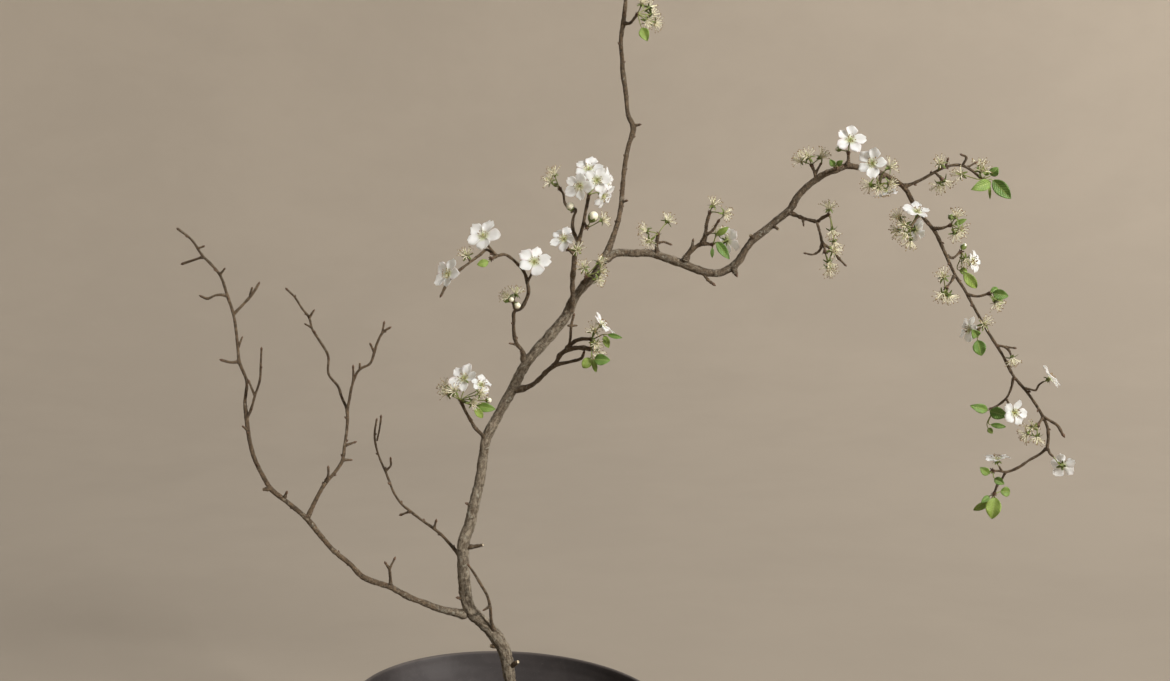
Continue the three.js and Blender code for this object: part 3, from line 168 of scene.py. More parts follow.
# The limbs of the branch, root first: (across, up, depth, thickness).
LIMBS = {
    "trunk": [(14, 15, 0, 13), (11, 45, 0, 12), (7, 72, 0, 11), (2, 96, 0, 10.6), (-5, 129, -1, 12),
        (-15, 144, -3, 11.8), (-24, 153, -5, 11.3), (-33, 162, -6, 11.2), (-37, 172, -7, 11),
        (-39, 188, -8, 10.9), (-40, 212, -10, 10.8), (-39, 228, -9, 10.4), (-34, 242, -7, 10.2),
        (-30, 260, -4, 9.9), (-24, 285, 0, 9.2), (-21, 306, 4, 8.9), (-18, 322, 6, 8.9), (-10, 338, 9, 8.9),
        (5, 365, 12, 9.1), (19, 391, 11, 8.9), (31, 405, 10, 9.1), (44, 420, 6, 9.6), (54, 433, 3, 8.8),
        (61, 448, 0, 8.2), (69, 458, -2, 7.8), (78, 467, -5, 7.5), (85, 479, -7, 7.5), (90, 487, -8, 7.4)],
    "trunk_stub_right": [(-36, 222, -10, 4.5), (-27, 223, -14, 3.2), (-22, 224, -16, 2.7)],
    "trunk_stub_left": [(-8, 130, -1, 4.5), (-16, 130, -5, 3.1)],
    "trunk_stub_low": [(0, 109, 0, 4.6), (9, 115, -8, 3.3)],
    "sucker": [(-12, 142, -5, 4.1), (-15, 153, -12, 3.3), (-16, 167, -18, 3.2), (-19, 178, -22, 3.1),
        (-24, 187, -24, 3), (-31, 199, -25, 2.7), (-35, 205, -26, 2.2)],
    "bough": [(-36, 159, -6, 8.4), (-51, 162, -10, 6.9), (-63, 165, -16, 6.3), (-75, 170, -22, 5.9),
        (-88, 175, -28, 5.5), (-99, 181, -34, 5.6), (-106, 185, -37, 5.2), (-115, 188, -40, 5.1),
        (-130, 194, -46, 5.4), (-143, 207, -52, 4.5), (-156, 218, -58, 4.5), (-167, 231, -63, 4.5),
        (-180, 248, -68, 5), (-197, 263, -74, 4.4), (-212, 276, -79, 4.4), (-220, 290, -83, 4),
        (-227, 307, -87, 3.9), (-230, 321, -90, 3.8), (-232, 341, -92, 4.1), (-233, 353, -92, 3.3),
        (-231, 373, -91, 2.9), (-237, 391, -89, 3.1), (-238, 404, -86, 2.8), (-241, 433, -80, 2.9),
        (-246, 450, -74, 2.9), (-252, 468, -69, 2.6), (-260, 478, -65, 2.6), (-266, 484, -62, 2.6),
        (-276, 499, -55, 2.4), (-287, 508, -48, 2.5)],
    "bough_spur_low": [(-106, 186, -37, 3.6), (-106, 194, -40, 2.7), (-107, 202, -43, 2.6),
        (-110, 207, -46, 2.2)],
    "bough_spur_low_fork": [(-107, 201, -43, 2.3), (-102, 211, -41, 2.3)],
    "bough_spur_mid": [(-237, 391, -89, 2.7), (-244, 390, -93, 2.3), (-252, 392, -96, 2.5)],
    "bough_spur_right": [(-241, 433, -80, 2.7), (-232, 442, -74, 2.5), (-223, 452, -70, 2.5),
        (-218, 460, -68, 2.1)],
    "bough_spur_high": [(-246, 450, -74, 2.6), (-256, 450, -80, 2.4), (-264, 447, -84, 2.6),
        (-269, 449, -86, 2.2)],
    "bough_spur_top": [(-266, 484, -62, 2.6), (-275, 481, -58, 2.4), (-284, 478, -54, 2.6)],
    "bough_twig": [(-232, 340, -92, 3.2), (-229, 345, -94, 2.7), (-224, 360, -98, 2.4),
        (-219, 375, -103, 2.4), (-218, 388, -107, 2.2), (-217, 402, -111, 2)],
    "bough_twig_spur": [(-224, 360, -98, 2.2), (-229, 373, -99, 2)],
    "fork": [(-180, 248, -68, 4.5), (-171, 267, -62, 3.9), (-162, 282, -56, 3.8), (-153, 292, -50, 3.6),
        (-147, 302, -45, 3.6), (-145, 315, -39, 3.2), (-143, 327, -34, 3.1), (-142, 337, -30, 3.2),
        (-142, 350, -24, 3.3)],
    "fork_spur_low": [(-162, 282, -56, 2.9), (-160, 289, -60, 2.3), (-160, 295, -62, 2.3)],
    "fork_left": [(-142, 348, -25, 3), (-147, 360, -16, 2.8), (-149, 367, -12, 2.8), (-158, 380, -6, 2.6),
        (-158, 396, 2, 2.6), (-165, 409, 8, 2.7), (-172, 421, 13, 2.5), (-174, 430, 16, 2.6),
        (-180, 438, 20, 2.3), (-187, 449, 24, 2.3), (-193, 455, 27, 2.5)],
    "fork_right": [(-142, 348, -25, 3), (-140, 356, -25, 2.9), (-137, 370, -27, 2.8), (-130, 384, -29, 2.8),
        (-121, 389, -30, 2.7), (-117, 399, -31, 2.7), (-114, 408, -33, 2.6), (-108, 418, -34, 2.7),
        (-103, 421, -35, 2.1)],
    "fork_right_twig": [(-137, 370, -27, 2.5), (-136, 378, -30, 2.2), (-136, 386, -33, 2.1)],
    "fork_right_tip": [(-110, 415, -34, 2.3), (-108, 425, -31, 2.1)],
    "back": [(-41, 214, -10, 5.4), (-45, 217, -6, 4.1), (-51, 224, -1, 3.2), (-60, 234, 4, 3.1),
        (-66, 239, 8, 3.2), (-77, 247, 14, 2.8), (-87, 255, 20, 3.1), (-95, 262, 26, 2.6),
        (-101, 271, 30, 2.5), (-106, 284, 35, 2.5), (-109, 292, 38, 2.6), (-114, 304, 42, 2.2),
        (-117, 315, 45, 2.2), (-118, 325, 47, 2.3), (-116, 338, 51, 2.3)],
    "back_spur_low": [(-66, 239, 8, 2.7), (-64, 246, 5, 2.2)],
    "back_spur_left": [(-87, 255, 20, 2.7), (-95, 252, 24, 2.5)],
    "back_spur_right": [(-109, 292, 38, 2.3), (-104, 297, 35, 2.1), (-104, 303, 33, 2)],
    "back_tip": [(-116, 319, 46, 2.1), (-113, 333, 43, 2), (-112, 341, 42, 2.2)],
    "left": [(-18, 321, 6, 5.2), (-22, 325, 2, 3.9), (-28, 331, -3, 3.4), (-32, 338, -8, 3.4),
        (-37, 347, -13, 3.2), (-40, 354, -17, 3.7)],
    "right": [(6, 365, 12, 6.2), (16, 367, 6, 5.3), (23, 370, 0, 4.6), (37, 383, -12, 4.4),
        (43, 388, -18, 4.3), (49, 398, -25, 4.6), (56, 402, -29, 4.4), (62, 403, -33, 4.4),
        (70, 403, -37, 4.3), (74, 402, -40, 4.1)],
    "right_upper": [(53, 401, -27, 4.1), (61, 409, -33, 3.9), (67, 411, -36, 3.8), (73, 411, -38, 3.7)],
    "right_lower": [(43, 388, -18, 3.6), (58, 391, -26, 3.2), (67, 394, -30, 3), (69, 399, -34, 2.8)],
    "right_thin": [(55, 402, -28, 3.2), (57, 412, -34, 2.7), (58, 424, -38, 2.7), (60, 432, -40, 2.3)],
    "shoot": [(57, 434, 3, 6.2), (59, 446, -6, 4.9), (59, 461, -10, 4.6), (60, 475, -13, 4.8),
        (62, 490, -16, 4.9), (65, 498, -18, 5.3)],
    "shoot_right": [(64, 496, -18, 3.9), (68, 511, -20, 3.3), (70, 521, -22, 3.2), (73, 536, -22, 3.5)],
    "shoot_thorn": [(69, 515, -21, 2.6), (71, 511, -26, 2.3)],
    "shoot_nub": [(60, 524, -14, 2.4), (58, 523, -18, 2)],
    "shoot_left": [(64, 496, -18, 3.7), (59, 511, -16, 3.2), (60, 519, -15, 2.8), (62, 525, -14, 2.8),
        (55, 527, -10, 2.6), (52, 532, -7, 2.5), (51, 539, -5, 2.5), (49, 542, -3, 2.6)],
    "shoot_stub": [(61, 487, -16, 3.4), (56, 490, -22, 2.6)],
    "trunk_spur": [(68, 459, -2, 4.2), (71, 466, -13, 3)],
    "arm": [(16, 390, 11, 6.2), (14, 401, 7, 4.4), (10, 406, 3, 4.1), (7, 417, -4, 3.8), (7, 427, -10, 3.7),
        (8, 436, -15, 3.7), (13, 438, -18, 3.7), (17, 444, -22, 3.5), (20, 452, -26, 3.5),
        (19, 462, -31, 3.4), (16, 471, -35, 3.1), (11, 477, -38, 3), (6, 482, -41, 2.9), (-1, 486, -45, 2.9),
        (-8, 485, -48, 2.8), (-17, 490, -50, 2.8), (-22, 486, -52, 2.7), (-30, 480, -55, 2.6),
        (-42, 471, -58, 2.6), (-50, 463, -60, 2.5), (-57, 450, -61, 2.5)],
    "arm_knee": [(8, 437, -16, 3.2), (7, 442, -17, 2.8)],
    "arm_leaf_spur": [(-7, 485, -48, 2.4), (-11, 483, -51, 2.2)],
    "arm_twig_first": [(-8, 485, -48, 2.6), (-13, 491, -52, 2.4), (-17, 496, -54, 2)],
    "arm_twig_second": [(18, 460, -30, 2.8), (22, 467, -36, 2.5), (24, 473, -42, 2)],
    "arm_twig_third": [(-49, 464, -60, 2.4), (-49, 465, -63, 2)],
    "arm_twig_fourth": [(-31, 480, -55, 2.4), (-33, 483, -58, 2)],
    "leader": [(86, 480, -8, 7), (91, 492, -7, 6), (95, 502, -4, 5.3), (99, 515, 0, 4.7), (102, 532, 5, 4.7),
        (103, 546, 9, 4.4), (105, 565, 15, 4.4), (108, 581, 20, 4.4), (112, 598, 25, 5.4),
        (108, 606, 28, 4.3), (106, 621, 31, 4.2), (105, 630, 33, 4.1), (103, 643, 35, 4.9), (102, 657, 38, 4),
        (101, 669, 40, 4), (103, 686, 44, 4.5), (105, 705, 48, 4), (104, 724, 51, 3.8), (99, 744, 54, 4),
        (100, 764, 57, 2.9), (103, 782, 60, 2.2)],
    "leader_bud_mid": [(111, 598, 25, 3.5), (117, 599, 22, 2.6)],
    "leader_spur": [(103, 686, 44, 3.5), (109, 686, 38, 2.8), (114, 692, 34, 2.9)],
    "arch": [(86, 481, -8, 7.5), (97, 487, -9, 6.9), (112, 487, -11, 6.7), (127, 487, -14, 6.7),
        (135, 485, -16, 7), (147, 481, -20, 6.9), (158, 477, -23, 7), (168, 473, -26, 7.1),
        (178, 470, -29, 7.1), (189, 470, -32, 6.7), (198, 474, -35, 6.7), (205, 480, -38, 6.7),
        (213, 493, -41, 6.5), (219, 500, -43, 6.7), (228, 507, -46, 6.7), (236, 514, -48, 6.3),
        (250, 526, -52, 6.1), (256, 536, -54, 5.8), (264, 545, -56, 5.6), (273, 552, -58, 5.6),
        (281, 557, -60, 5.2), (290, 560, -62, 5.1), (298, 563, -64, 5.2), (310, 562, -67, 4.7),
        (321, 560, -69, 4.7), (331, 556, -72, 4.7), (339, 552, -74, 4.5), (349, 545, -77, 4.7),
        (359, 529, -80, 4), (369, 516, -84, 3.9), (376, 508, -86, 4), (387, 487, -90, 3.7),
        (397, 467, -92, 3.5), (405, 455, -94, 3.4), (413, 441, -96, 3.2), (426, 419, -99, 3.2),
        (441, 396, -102, 3.2), (451, 378, -104, 3.3), (463, 364, -105, 3.2), (478, 342, -106, 3.3),
        (483, 331, -106, 3.2), (484, 321, -106, 3.6), (483, 311, -105, 3.4)],
    "arch_knee": [(200, 475, -36, 4.8), (203, 469, -39, 3.7)],
    "arch_hook": [(173, 472, -28, 4.4), (176, 467, -30, 3.5), (179, 463, -33, 3.4), (183, 460, -34, 2.8)],
    "arch_stub_down": [(234, 512, -48, 4), (240, 508, -52, 2.8)],
    "first_spur": [(134, 485, -16, 4), (133, 494, -18, 3.5), (134, 502, -21, 3.3)],
    "first_spur_twig": [(134, 496, -19, 2.5), (139, 497, -16, 2.2), (145, 495, -13, 2.1)],
    "second_spur": [(157, 478, -23, 5.3), (162, 488, -24, 4.4), (168, 493, -26, 4.2), (173, 496, -28, 4.4),
        (176, 505, -30, 3.3), (177, 514, -31, 3.2), (179, 521, -32, 3.5)],
    "second_spur_right": [(175, 503, -30, 3.2), (181, 506, -33, 2.6), (187, 515, -37, 2.6)],
    "second_spur_low": [(172, 496, -28, 3.5), (180, 495, -31, 3)],
    "hanging": [(247, 524, -52, 4.4), (256, 520, -54, 3.5), (261, 518, -56, 3.3), (268, 516, -59, 3.2),
        (274, 515, -61, 3.4), (278, 518, -64, 3), (282, 520, -66, 2.6)],
    "hanging_down": [(273, 516, -61, 2.8), (275, 510, -63, 2.6), (277, 503, -65, 2.5), (279, 496, -66, 3),
        (286, 491, -68, 2.6), (292, 484, -70, 2.8), (299, 477, -72, 2)],
    "hanging_left": [(279, 497, -66, 2.8), (276, 489, -64, 2.6), (271, 486, -63, 2.2), (264, 487, -62, 1.8)],
    "hanging_tuft": [(280, 496, -66, 2.4), (281, 490, -68, 2.2)],
    "third_spur": [(273, 550, -58, 3.7), (271, 557, -56, 3), (269, 562, -55, 3)],
    "third_spur_fork": [(271, 556, -56, 2.6), (276, 565, -53, 2.3)],
    "arch_leaf_spur": [(290, 560, -62, 3), (290, 562, -68, 2.6)],
    "fourth_spur": [(298, 562, -64, 3.8), (300, 568, -66, 3), (300, 573, -67, 3)],
    "fifth_spur": [(332, 555, -72, 3.8), (329, 554, -77, 3.1), (328, 550, -80, 3.2)],
    "arch_thorn_bud": [(382, 561, -86, 2.4), (382, 563, -90, 2)],
    "reach": [(347, 545, -77, 4.4), (354, 547, -78, 3.5), (359, 549, -80, 3.3), (369, 554, -82, 3.3),
        (376, 558, -84, 3.2), (384, 562, -86, 3.1), (398, 564, -89, 3), (404, 562, -91, 3.1),
        (410, 558, -93, 3), (416, 553, -96, 3)],
    "reach_curl": [(400, 564, -90, 2.6), (403, 571, -93, 2.8), (399, 573, -95, 2)],
    "reach_drop": [(376, 558, -84, 2.5), (381, 553, -88, 2.4)],
    "fall_spur_a": [(364, 522, -82, 3.2), (360, 516, -86, 2.8), (357, 512, -89, 2.8)],
    "fall_spur_b": [(375, 509, -86, 3.5), (383, 509, -89, 2.8), (389, 511, -91, 2.8)],
    "fall_spur_c": [(388, 485, -90, 3), (394, 483, -88, 2.6), (399, 487, -86, 2.6)],
    "fall_spur_d": [(396, 468, -92, 3), (393, 462, -95, 2.6), (390, 458, -97, 2.6)],
    "fall_spur_e": [(407, 451, -95, 3), (417, 449, -98, 2.6), (425, 451, -100, 2.6)],
    "fall_spur_f": [(423, 424, -98, 3), (419, 420, -101, 2.5)],
    "fall_spur_g": [(435, 405, -101, 2.8), (442, 404, -104, 2.3), (446, 401, -106, 2.5), (448, 397, -107, 2)],
    "fall_spur_g_tip": [(442, 404, -104, 2.2), (451, 403, -103, 2)],
    "fall_twig": [(451, 377, -104, 3), (449, 366, -101, 2.4), (446, 359, -99, 2.3), (440, 353, -96, 2.5),
        (434, 349, -94, 2.6)],
    "fall_twig_spur": [(445, 358, -99, 2.2), (447, 354, -100, 2.1), (449, 349, -102, 2)],
    "fall_twig_right": [(460, 367, -105, 2.8), (466, 366, -108, 2.5), (471, 365, -110, 2.3),
        (474, 370, -111, 2.1), (478, 373, -112, 2)],
    "fall_end": [(478, 342, -106, 3), (486, 337, -108, 3.2), (491, 334, -109, 3.2), (497, 325, -111, 2.9)],
    "fall_end_spur": [(479, 341, -106, 2.7), (475, 335, -110, 2.5)],
    "tip_left": [(483, 313, -105, 3.6), (478, 308, -102, 3.2), (468, 302, -98, 3), (458, 295, -94, 3),
        (447, 291, -90, 3), (441, 292, -92, 2.5), (437, 292, -94, 2.3)],
    "tip_left_flower": [(444, 291, -91, 2.4), (441, 296, -93, 2)],
    "tip_left_down": [(447, 291, -90, 2.9), (444, 285, -87, 2.9), (440, 279, -85, 3), (438, 273, -83, 2.7)],
    "tip_right": [(484, 313, -105, 3), (486, 308, -107, 2.7), (489, 305, -109, 2.2)],
}

# Small buds, thorns and stubs on the limbs.
NUBS = {
    "trunk_bud_high": [(-31, 260, -4, 3.6), (-36, 262, -8, 2.3)],
    "trunk_bud_low": [(-39, 174, -7, 3.6), (-45, 175, -12, 2.4)],
    "sucker_spur": [(-16, 167, -18, 2.7), (-21, 164, -21, 2)],
    "bough_stub": [(-212, 276, -79, 3.2), (-219, 275, -84, 2.5)],
    "bough_bud_low": [(-200, 267, -75, 3.6), (-198, 272, -78, 2.3)],
    "bough_bud_mid": [(-231, 329, -91, 3.2), (-235, 332, -95, 2.1)],
    "bough_spur_right_fork": [(-226, 449, -71, 2.1), (-224, 456, -75, 1.8)],
    "bough_bud_right": [(-252, 468, -69, 2.6), (-248, 473, -72, 1.9)],
    "bough_bud_left": [(-238, 403, -86, 2.7), (-234, 412, -83, 1.8)],
    "bough_bud_top": [(-271, 491, -59, 2.5), (-266, 493, -61, 1.8)],
    "fork_spur_mid": [(-147, 302, -45, 2.7), (-140, 302, -42, 2.1)],
    "fork_spur_high": [(-145, 315, -39, 2.7), (-136, 318, -35, 2.1)],
    "fork_left_spur": [(-174, 430, 16, 2.3), (-170, 436, 14, 1.9)],
    "fork_left_bud": [(-172, 421, 13, 2.3), (-177, 424, 16, 1.8)],
    "fork_right_spur": [(-117, 399, -31, 2.3), (-120, 406, -35, 2)],
    "fork_right_stub": [(-130, 384, -29, 2.3), (-130, 390, -31, 1.8)],
    "right_thin_cross": [(54, 423, -40, 1.8), (58, 423, -38, 2.3), (62, 423, -36, 1.8)],
    "arm_bud": [(10, 406, 3, 3), (4, 407, 0, 2.1)],
    "leader_bud_low": [(102, 532, 5, 3), (106, 533, 2, 2.1)],
    "leader_bud_high": [(99, 744, 54, 3.1), (93, 748, 52, 2.2)],
    "leader_bud_top": [(100, 764, 57, 2.6), (105, 768, 55, 1.9)],
    "arch_stub_up": [(220, 499, -43, 4), (215, 503, -47, 3)],
    "second_spur_bud": [(164, 490, -25, 3), (165, 498, -28, 2.3)],
    "hanging_thorn": [(261, 518, -56, 2.6), (262, 512, -60, 1.9)],
    "reach_thorn": [(385, 562, -86, 2.6), (387, 569, -88, 1.9)],
    "reach_bud": [(404, 562, -91, 2.4), (411, 566, -89, 2.1)],
}

# Flowers, buds and leaves, each group from the end of one limb. A place is (across, up, depth), and a facing
# is (right, up, toward). open: (place, facing, width); spent: a place, with the facing in the same row where
# the flower doesn't look straight away from its root; buds: (place, width); leaves: (foot, tip, width).
# These grow alone, each on a twig of its own.
TWIG_FLOWERS = {
    "bloom_arm_first": {"limb": "arm_twig_first", "open": [((-19, 501, -56), (-0.15, 0.6, 0.78), 30)]},
    "bloom_arm_second": {"limb": "arm_twig_second", "open": [((25, 479, -46), (0.1, 0.45, 0.88), 28)]},
    "bloom_arm_third": {"limb": "arm_twig_third", "open": [((-50, 468, -67), (-0.55, 0.35, 0.72), 27)]},
    "bloom_fall_side": {"limb": "fall_twig_right", "open": [((482, 375, -113), (0.79, 0.61, 0.1), 22)]},
    "bloom_fall_twig": {"limb": "fall_twig_spur", "open": [((452, 345, -106), (0.35, 0.1, 0.9), 24)]},
    "bloom_tip_right": {"limb": "tip_right", "open": [((497, 297, -102), (0.6, -0.2, -0.75), 21)]},
    "bloom_tip_left": {"limb": "tip_left_flower", "open": [((439, 301, -94), (-0.15, 0.98, 0.05), 23)]},
    "spent_arm_twig_fourth": {"limb": "arm_twig_fourth", "spent": [(-34, 485, -60)]},
    "spent_arch_thorn_bud": {"limb": "arch_thorn_bud", "spent": [(381, 565, -92)]},
    "spent_fall_spur_g": {"limb": "fall_spur_g", "spent": [(449, 394, -108)]},
    "bud_shoot_nub": {"limb": "shoot_nub", "buds": [((57, 528, -24), 7)]},
}

# These grow from a knob at the end of a spur.
SPRAYS = {
    "spray_leader": {
        "limb": "leader_spur",
        "spent": [(119, 702, 30), (125, 699, 48), (123, 688, 27), (130, 686, 42), (127, 693, 44)],
        "leaves": [((119, 682, 20), (124, 671, 17), 8.8)],
    },
    "spray_crown": {
        "limb": "shoot_right",
        "open": [((73, 559, -21), (0, 0.75, 0.65), 27), ((66, 546, -47), (-0.45, -0.1, 0.9), 26),
            ((80, 551, -40), (0.2, -0.05, 1), 25), ((87, 550, -14), (0.9, 0.2, 0.3), 24),
            ((85, 538, -24), (0.7, -0.6, 0.45), 25)],
    },
    "spray_crown_low": {"limb": "shoot_thorn", "spent": [(85, 516, -31)], "buds": [((77, 519, -34), 8.8)]},
    "spray_crown_side": {
        "limb": "shoot_left",
        "spent": [(43, 556, -4), (40, 550, -9)],
        "buds": [((44, 547, 2), 3.8)],
    },
    "spray_shoot": {
        "limb": "shoot_stub",
        "open": [((52, 499, -26), (-0.35, 0.45, 0.8), 24)],
        "spent": [(63, 490, -33, 0.2, 0.4, 0.9)],
    },
    "spray_trunk": {
        "limb": "trunk_spur",
        "spent": [(83, 471, -16), (82, 479, -18), (81, 464, -20), (69, 474, -22)],
    },
    "spray_arm_leaf": {"limb": "arm_leaf_spur", "leaves": [((-15, 479.5, -54), (-25, 477, -56), 6.6)]},
    "spray_arm_knee": {
        "limb": "arm_knee",
        "spent": [(9, 451, -16), (2, 448, -20)],
        "buds": [((5, 446, -28), 4.6), ((10, 441, -24), 6)],
        "leaves": [((3, 444, -14), (-2, 448, -12), 5.3)],
    },
    "spray_left": {
        "limb": "left",
        "open": [((-37, 375, -22), (-0.35, 0.55, 0.75), 27), ((-23, 369, -14), (0.35, 0.75, 0.55), 23)],
        "spent": [(-54, 368, -11), (-52, 362, -22), (-46, 364, -30), (-31, 354, -27), (-24, 362, -30)],
        "buds": [((-16, 356, -24), 5)],
        "leaves": [((-27, 351, -22), (-10, 348, -26), 8), ((-28, 349, -27), (-21, 340, -25), 6.2)],
    },
    "spray_right": {
        "limb": "right_upper",
        "open": [((84, 423, -51), (0.72, 0.68, 0.1), 25)],
        "spent": [(78, 418, -53), (79, 407, -46), (80, 400, -42)],
        "leaves": [((90, 415, -52), (103, 412, -54), 4), ((87, 414, -46), (91, 403, -48), 5.8),
            ((78, 393, -48), (92, 392, -52), 9.3), ((75, 394, -44), (68, 385, -44), 8.4),
            ((77, 393, -45), (80, 381, -43), 4.4)],
    },
    "spray_first": {"limb": "first_spur", "spent": [(124, 507, -24), (127, 498, -38), (142, 515, -16)]},
    "spray_second": {"limb": "second_spur", "spent": [(182, 529, -34), (192, 522, -38)]},
    "spray_second_low": {
        "limb": "second_spur_low",
        "open": [((194, 498, -26), (0.75, 0.15, -0.6), 27)],
        "spent": [(186, 504, -28)],
        "leaves": [((186, 497, -36), (197, 482, -42), 7.5), ((186, 503, -38), (196, 510, -42), 5.3),
            ((182, 492, -30), (182, 483, -30), 3.1)],
    },
    "spray_hanging": {"limb": "hanging", "spent": [(284, 526, -68), (287, 507, -71), (289, 497, -66)]},
    "spray_hanging_low": {
        "limb": "hanging_tuft",
        "spent": [(285, 479, -73), (285, 474, -64), (288, 489, -78)],
    },
    "spray_third": {"limb": "third_spur", "spent": [(259, 568, -54), (265, 571, -60), (276, 571, -58)]},
    "spray_arch_leaf": {
        "limb": "arch_leaf_spur",
        "leaves": [((288, 563, -78), (284, 569, -80), 4.9), ((290, 564, -80), (295, 568, -84), 4.4)],
    },
    "spray_fourth": {
        "limb": "fourth_spur",
        "open": [((301, 585, -70), (0, 0.5, 0.85), 26)],
        "buds": [((291, 578, -64), 4.6)],
    },
    "spray_fifth": {
        "limb": "fifth_spur",
        "open": [((321, 565, -96), (-0.3, 0.35, 0.85), 26), ((333, 542, -78), (0.25, -0.95, 0.15), 22)],
        "spent": [(336, 562, -99, 0.7, 0.5, 0.3), (320, 547, -74), (336, 548, -88), (327, 545, -90)],
    },
    "spray_reach_drop": {"limb": "reach_drop", "spent": [(380, 547, -90), (384, 550, -86, 0.6, -0.5, -0.3)]},
    "spray_reach": {
        "limb": "reach",
        "spent": [(415, 563, -73, 0, 1, 0.1), (399, 556, -107), (416, 559, -102, 0.2, 0.5, 0.8)],
        "leaves": [((425, 555, -98), (431, 562, -101), 7.5), ((427, 551, -92), (443, 535, -98), 10.6),
            ((425, 549, -107), (409, 543, -113), 8.8), ((420, 555, -99), (422, 560, -100), 4.9),
            ((424, 548, -94), (425, 534, -91), 2.3)],
    },
    "spray_fall_a": {
        "limb": "fall_spur_a",
        "open": [((361, 522, -98), (0.1, 0.85, 0.5), 24), ((359, 508, -84), (0.85, -0.1, -0.45), 21)],
        "spent": [(346, 518, -92), (345, 507, -88), (352, 504, -96), (356, 498, -90), (351, 512, -100)],
    },
    "spray_fall_b": {
        "limb": "fall_spur_b",
        "spent": [(395, 519, -94), (399, 508, -104), (395, 505, -88)],
        "buds": [((391, 519, -81), 5)],
        "leaves": [((394, 512, -92), (405, 517, -95), 4.1)],
    },
    "spray_fall_c": {
        "limb": "fall_spur_c",
        "open": [((410, 480, -86), (0.8, 0.1, 0.75), 19)],
        "spent": [(405, 482, -91)],
        "buds": [((403, 493, -81), 5.4)],
        "leaves": [((404, 470, -76), (416, 456, -74), 8.4), ((400, 472, -72), (407, 471, -71), 5.8)],
    },
    "spray_fall_d": {"limb": "fall_spur_d", "spent": [(386, 466, -106), (386, 451, -102), (391, 450, -94)]},
    "spray_fall_e": {
        "limb": "fall_spur_e",
        "spent": [(433, 444, -104)],
        "leaves": [((430, 452, -105), (444, 449, -109), 8), ((428, 453, -98), (435, 456, -96), 5.3),
            ((429, 448, -91), (440, 443, -90), 5.3)],
    },
    "spray_fall_f": {
        "limb": "fall_spur_f",
        "open": [((412, 419, -102), (-0.92, 0.2, 0.3), 22)],
        "spent": [(423, 424, -110)],
        "leaves": [((418, 410, -96), (422, 396, -98), 10.2), ((418, 413, -116), (413, 419, -122), 7.1)],
    },
    "spray_fall_twig": {
        "limb": "fall_twig",
        "leaves": [((429, 347, -94), (414, 351, -98), 7.5), ((431, 346, -98), (447, 342, -108), 9.7),
            ((432, 334, -82), (446, 332, -84), 4.4), ((430, 331, -83), (434, 326, -86), 4.4)],
    },
    "spray_fall_end": {
        "limb": "fall_end_spur",
        "spent": [(469, 332, -120), (465, 326, -108), (474, 323, -114)],
    },
    "spray_tip": {
        "limb": "tip_left",
        "leaves": [((432, 289, -97), (424, 295, -98), 6.6), ((437, 285, -98), (446, 280, -103), 6.2)],
    },
    "spray_tip_low": {
        "limb": "tip_left_down",
        "leaves": [((443, 273, -77), (452, 273, -75), 8), ((438, 268, -80), (436, 248, -84), 12.4),
            ((433, 263, -76), (419, 256, -72), 5.8), ((433, 269, -82), (426, 263, -86), 4.4)],
    },
}


def paint(red, green, blue):
    """A colour given in the 0 to 255 steps of a screen, as scene linear values."""
    steps = (red / 255, green / 255, blue / 255)
    return tuple(step / 12.92 if step <= 0.04045 else ((step + 0.055) / 1.055) ** 2.4 for step in steps)


def darker(colour, share):
    """The colour with only this share of its brightness."""
    return [share * part for part in colour]


# Settings.


def colour_setting(name, description, colour):
    return bpy.props.FloatVectorProperty(
        name=name, description=description, subtype="COLOR", size=3, min=0, max=1, default=colour)


def pitch_setting(name, description, least, most, pitch):
    return bpy.props.FloatProperty(
        name=name, description=f"{description}, in millimetres", min=least, max=most, default=pitch)


def power_setting(name, description, watts):
    return bpy.props.FloatProperty(
        name=name, description=description, subtype="POWER", unit="POWER", min=0, default=watts)


class WoodSettings(bpy.types.PropertyGroup):
    bark_light: colour_setting(
        "Pale bark", "Colour of the weathered bark on the older wood", paint(176, 163, 142))
    bark_dark: colour_setting(
        "Dark bark", "Colour of the mottling and the cracks in the older wood", paint(92, 76, 56))
    twig: colour_setting("Twig", "Colour of the young wood", paint(126, 104, 78))
    ring_pitch: pitch_setting(
        "Ring pitch", "Distance between the scar rings on a flowering spur", 0.8, 6, 1.7)
    bud_pitch: pitch_setting(
        "Bud pitch", "Distance between the resting buds along a bare twig", 5, 60, 17)


class BlossomSettings(bpy.types.PropertyGroup):
    petal: colour_setting("Petal", "Colour of the petals", paint(234, 235, 230))
    blush: colour_setting("Blush", "Tint at the edge of some petals", paint(232, 218, 215))
    heart: colour_setting("Heart", "Tint at the root of the petals", paint(196, 206, 140))
    stamens: bpy.props.IntProperty(
        name="Stamens", description="Stamens in each flower", min=5, max=30, default=18)


class FoliageSettings(bpy.types.PropertyGroup):
    leaf: colour_setting("Leaf", "Colour of a leaf's upper side", paint(98, 132, 54))
    leaf_young: colour_setting("Young leaf", "Colour of the youngest leaves", paint(142, 162, 72))
    stalk: colour_setting("Stalk", "Colour of the stalks", paint(128, 138, 72))


class BowlSettings(bpy.types.PropertyGroup):
    clay: colour_setting("Clay", "Colour of the dark stoneware", paint(63, 58, 57))
    ring_pitch: pitch_setting("Throwing rings", "Distance between the throwing rings", 2, 30, 8)


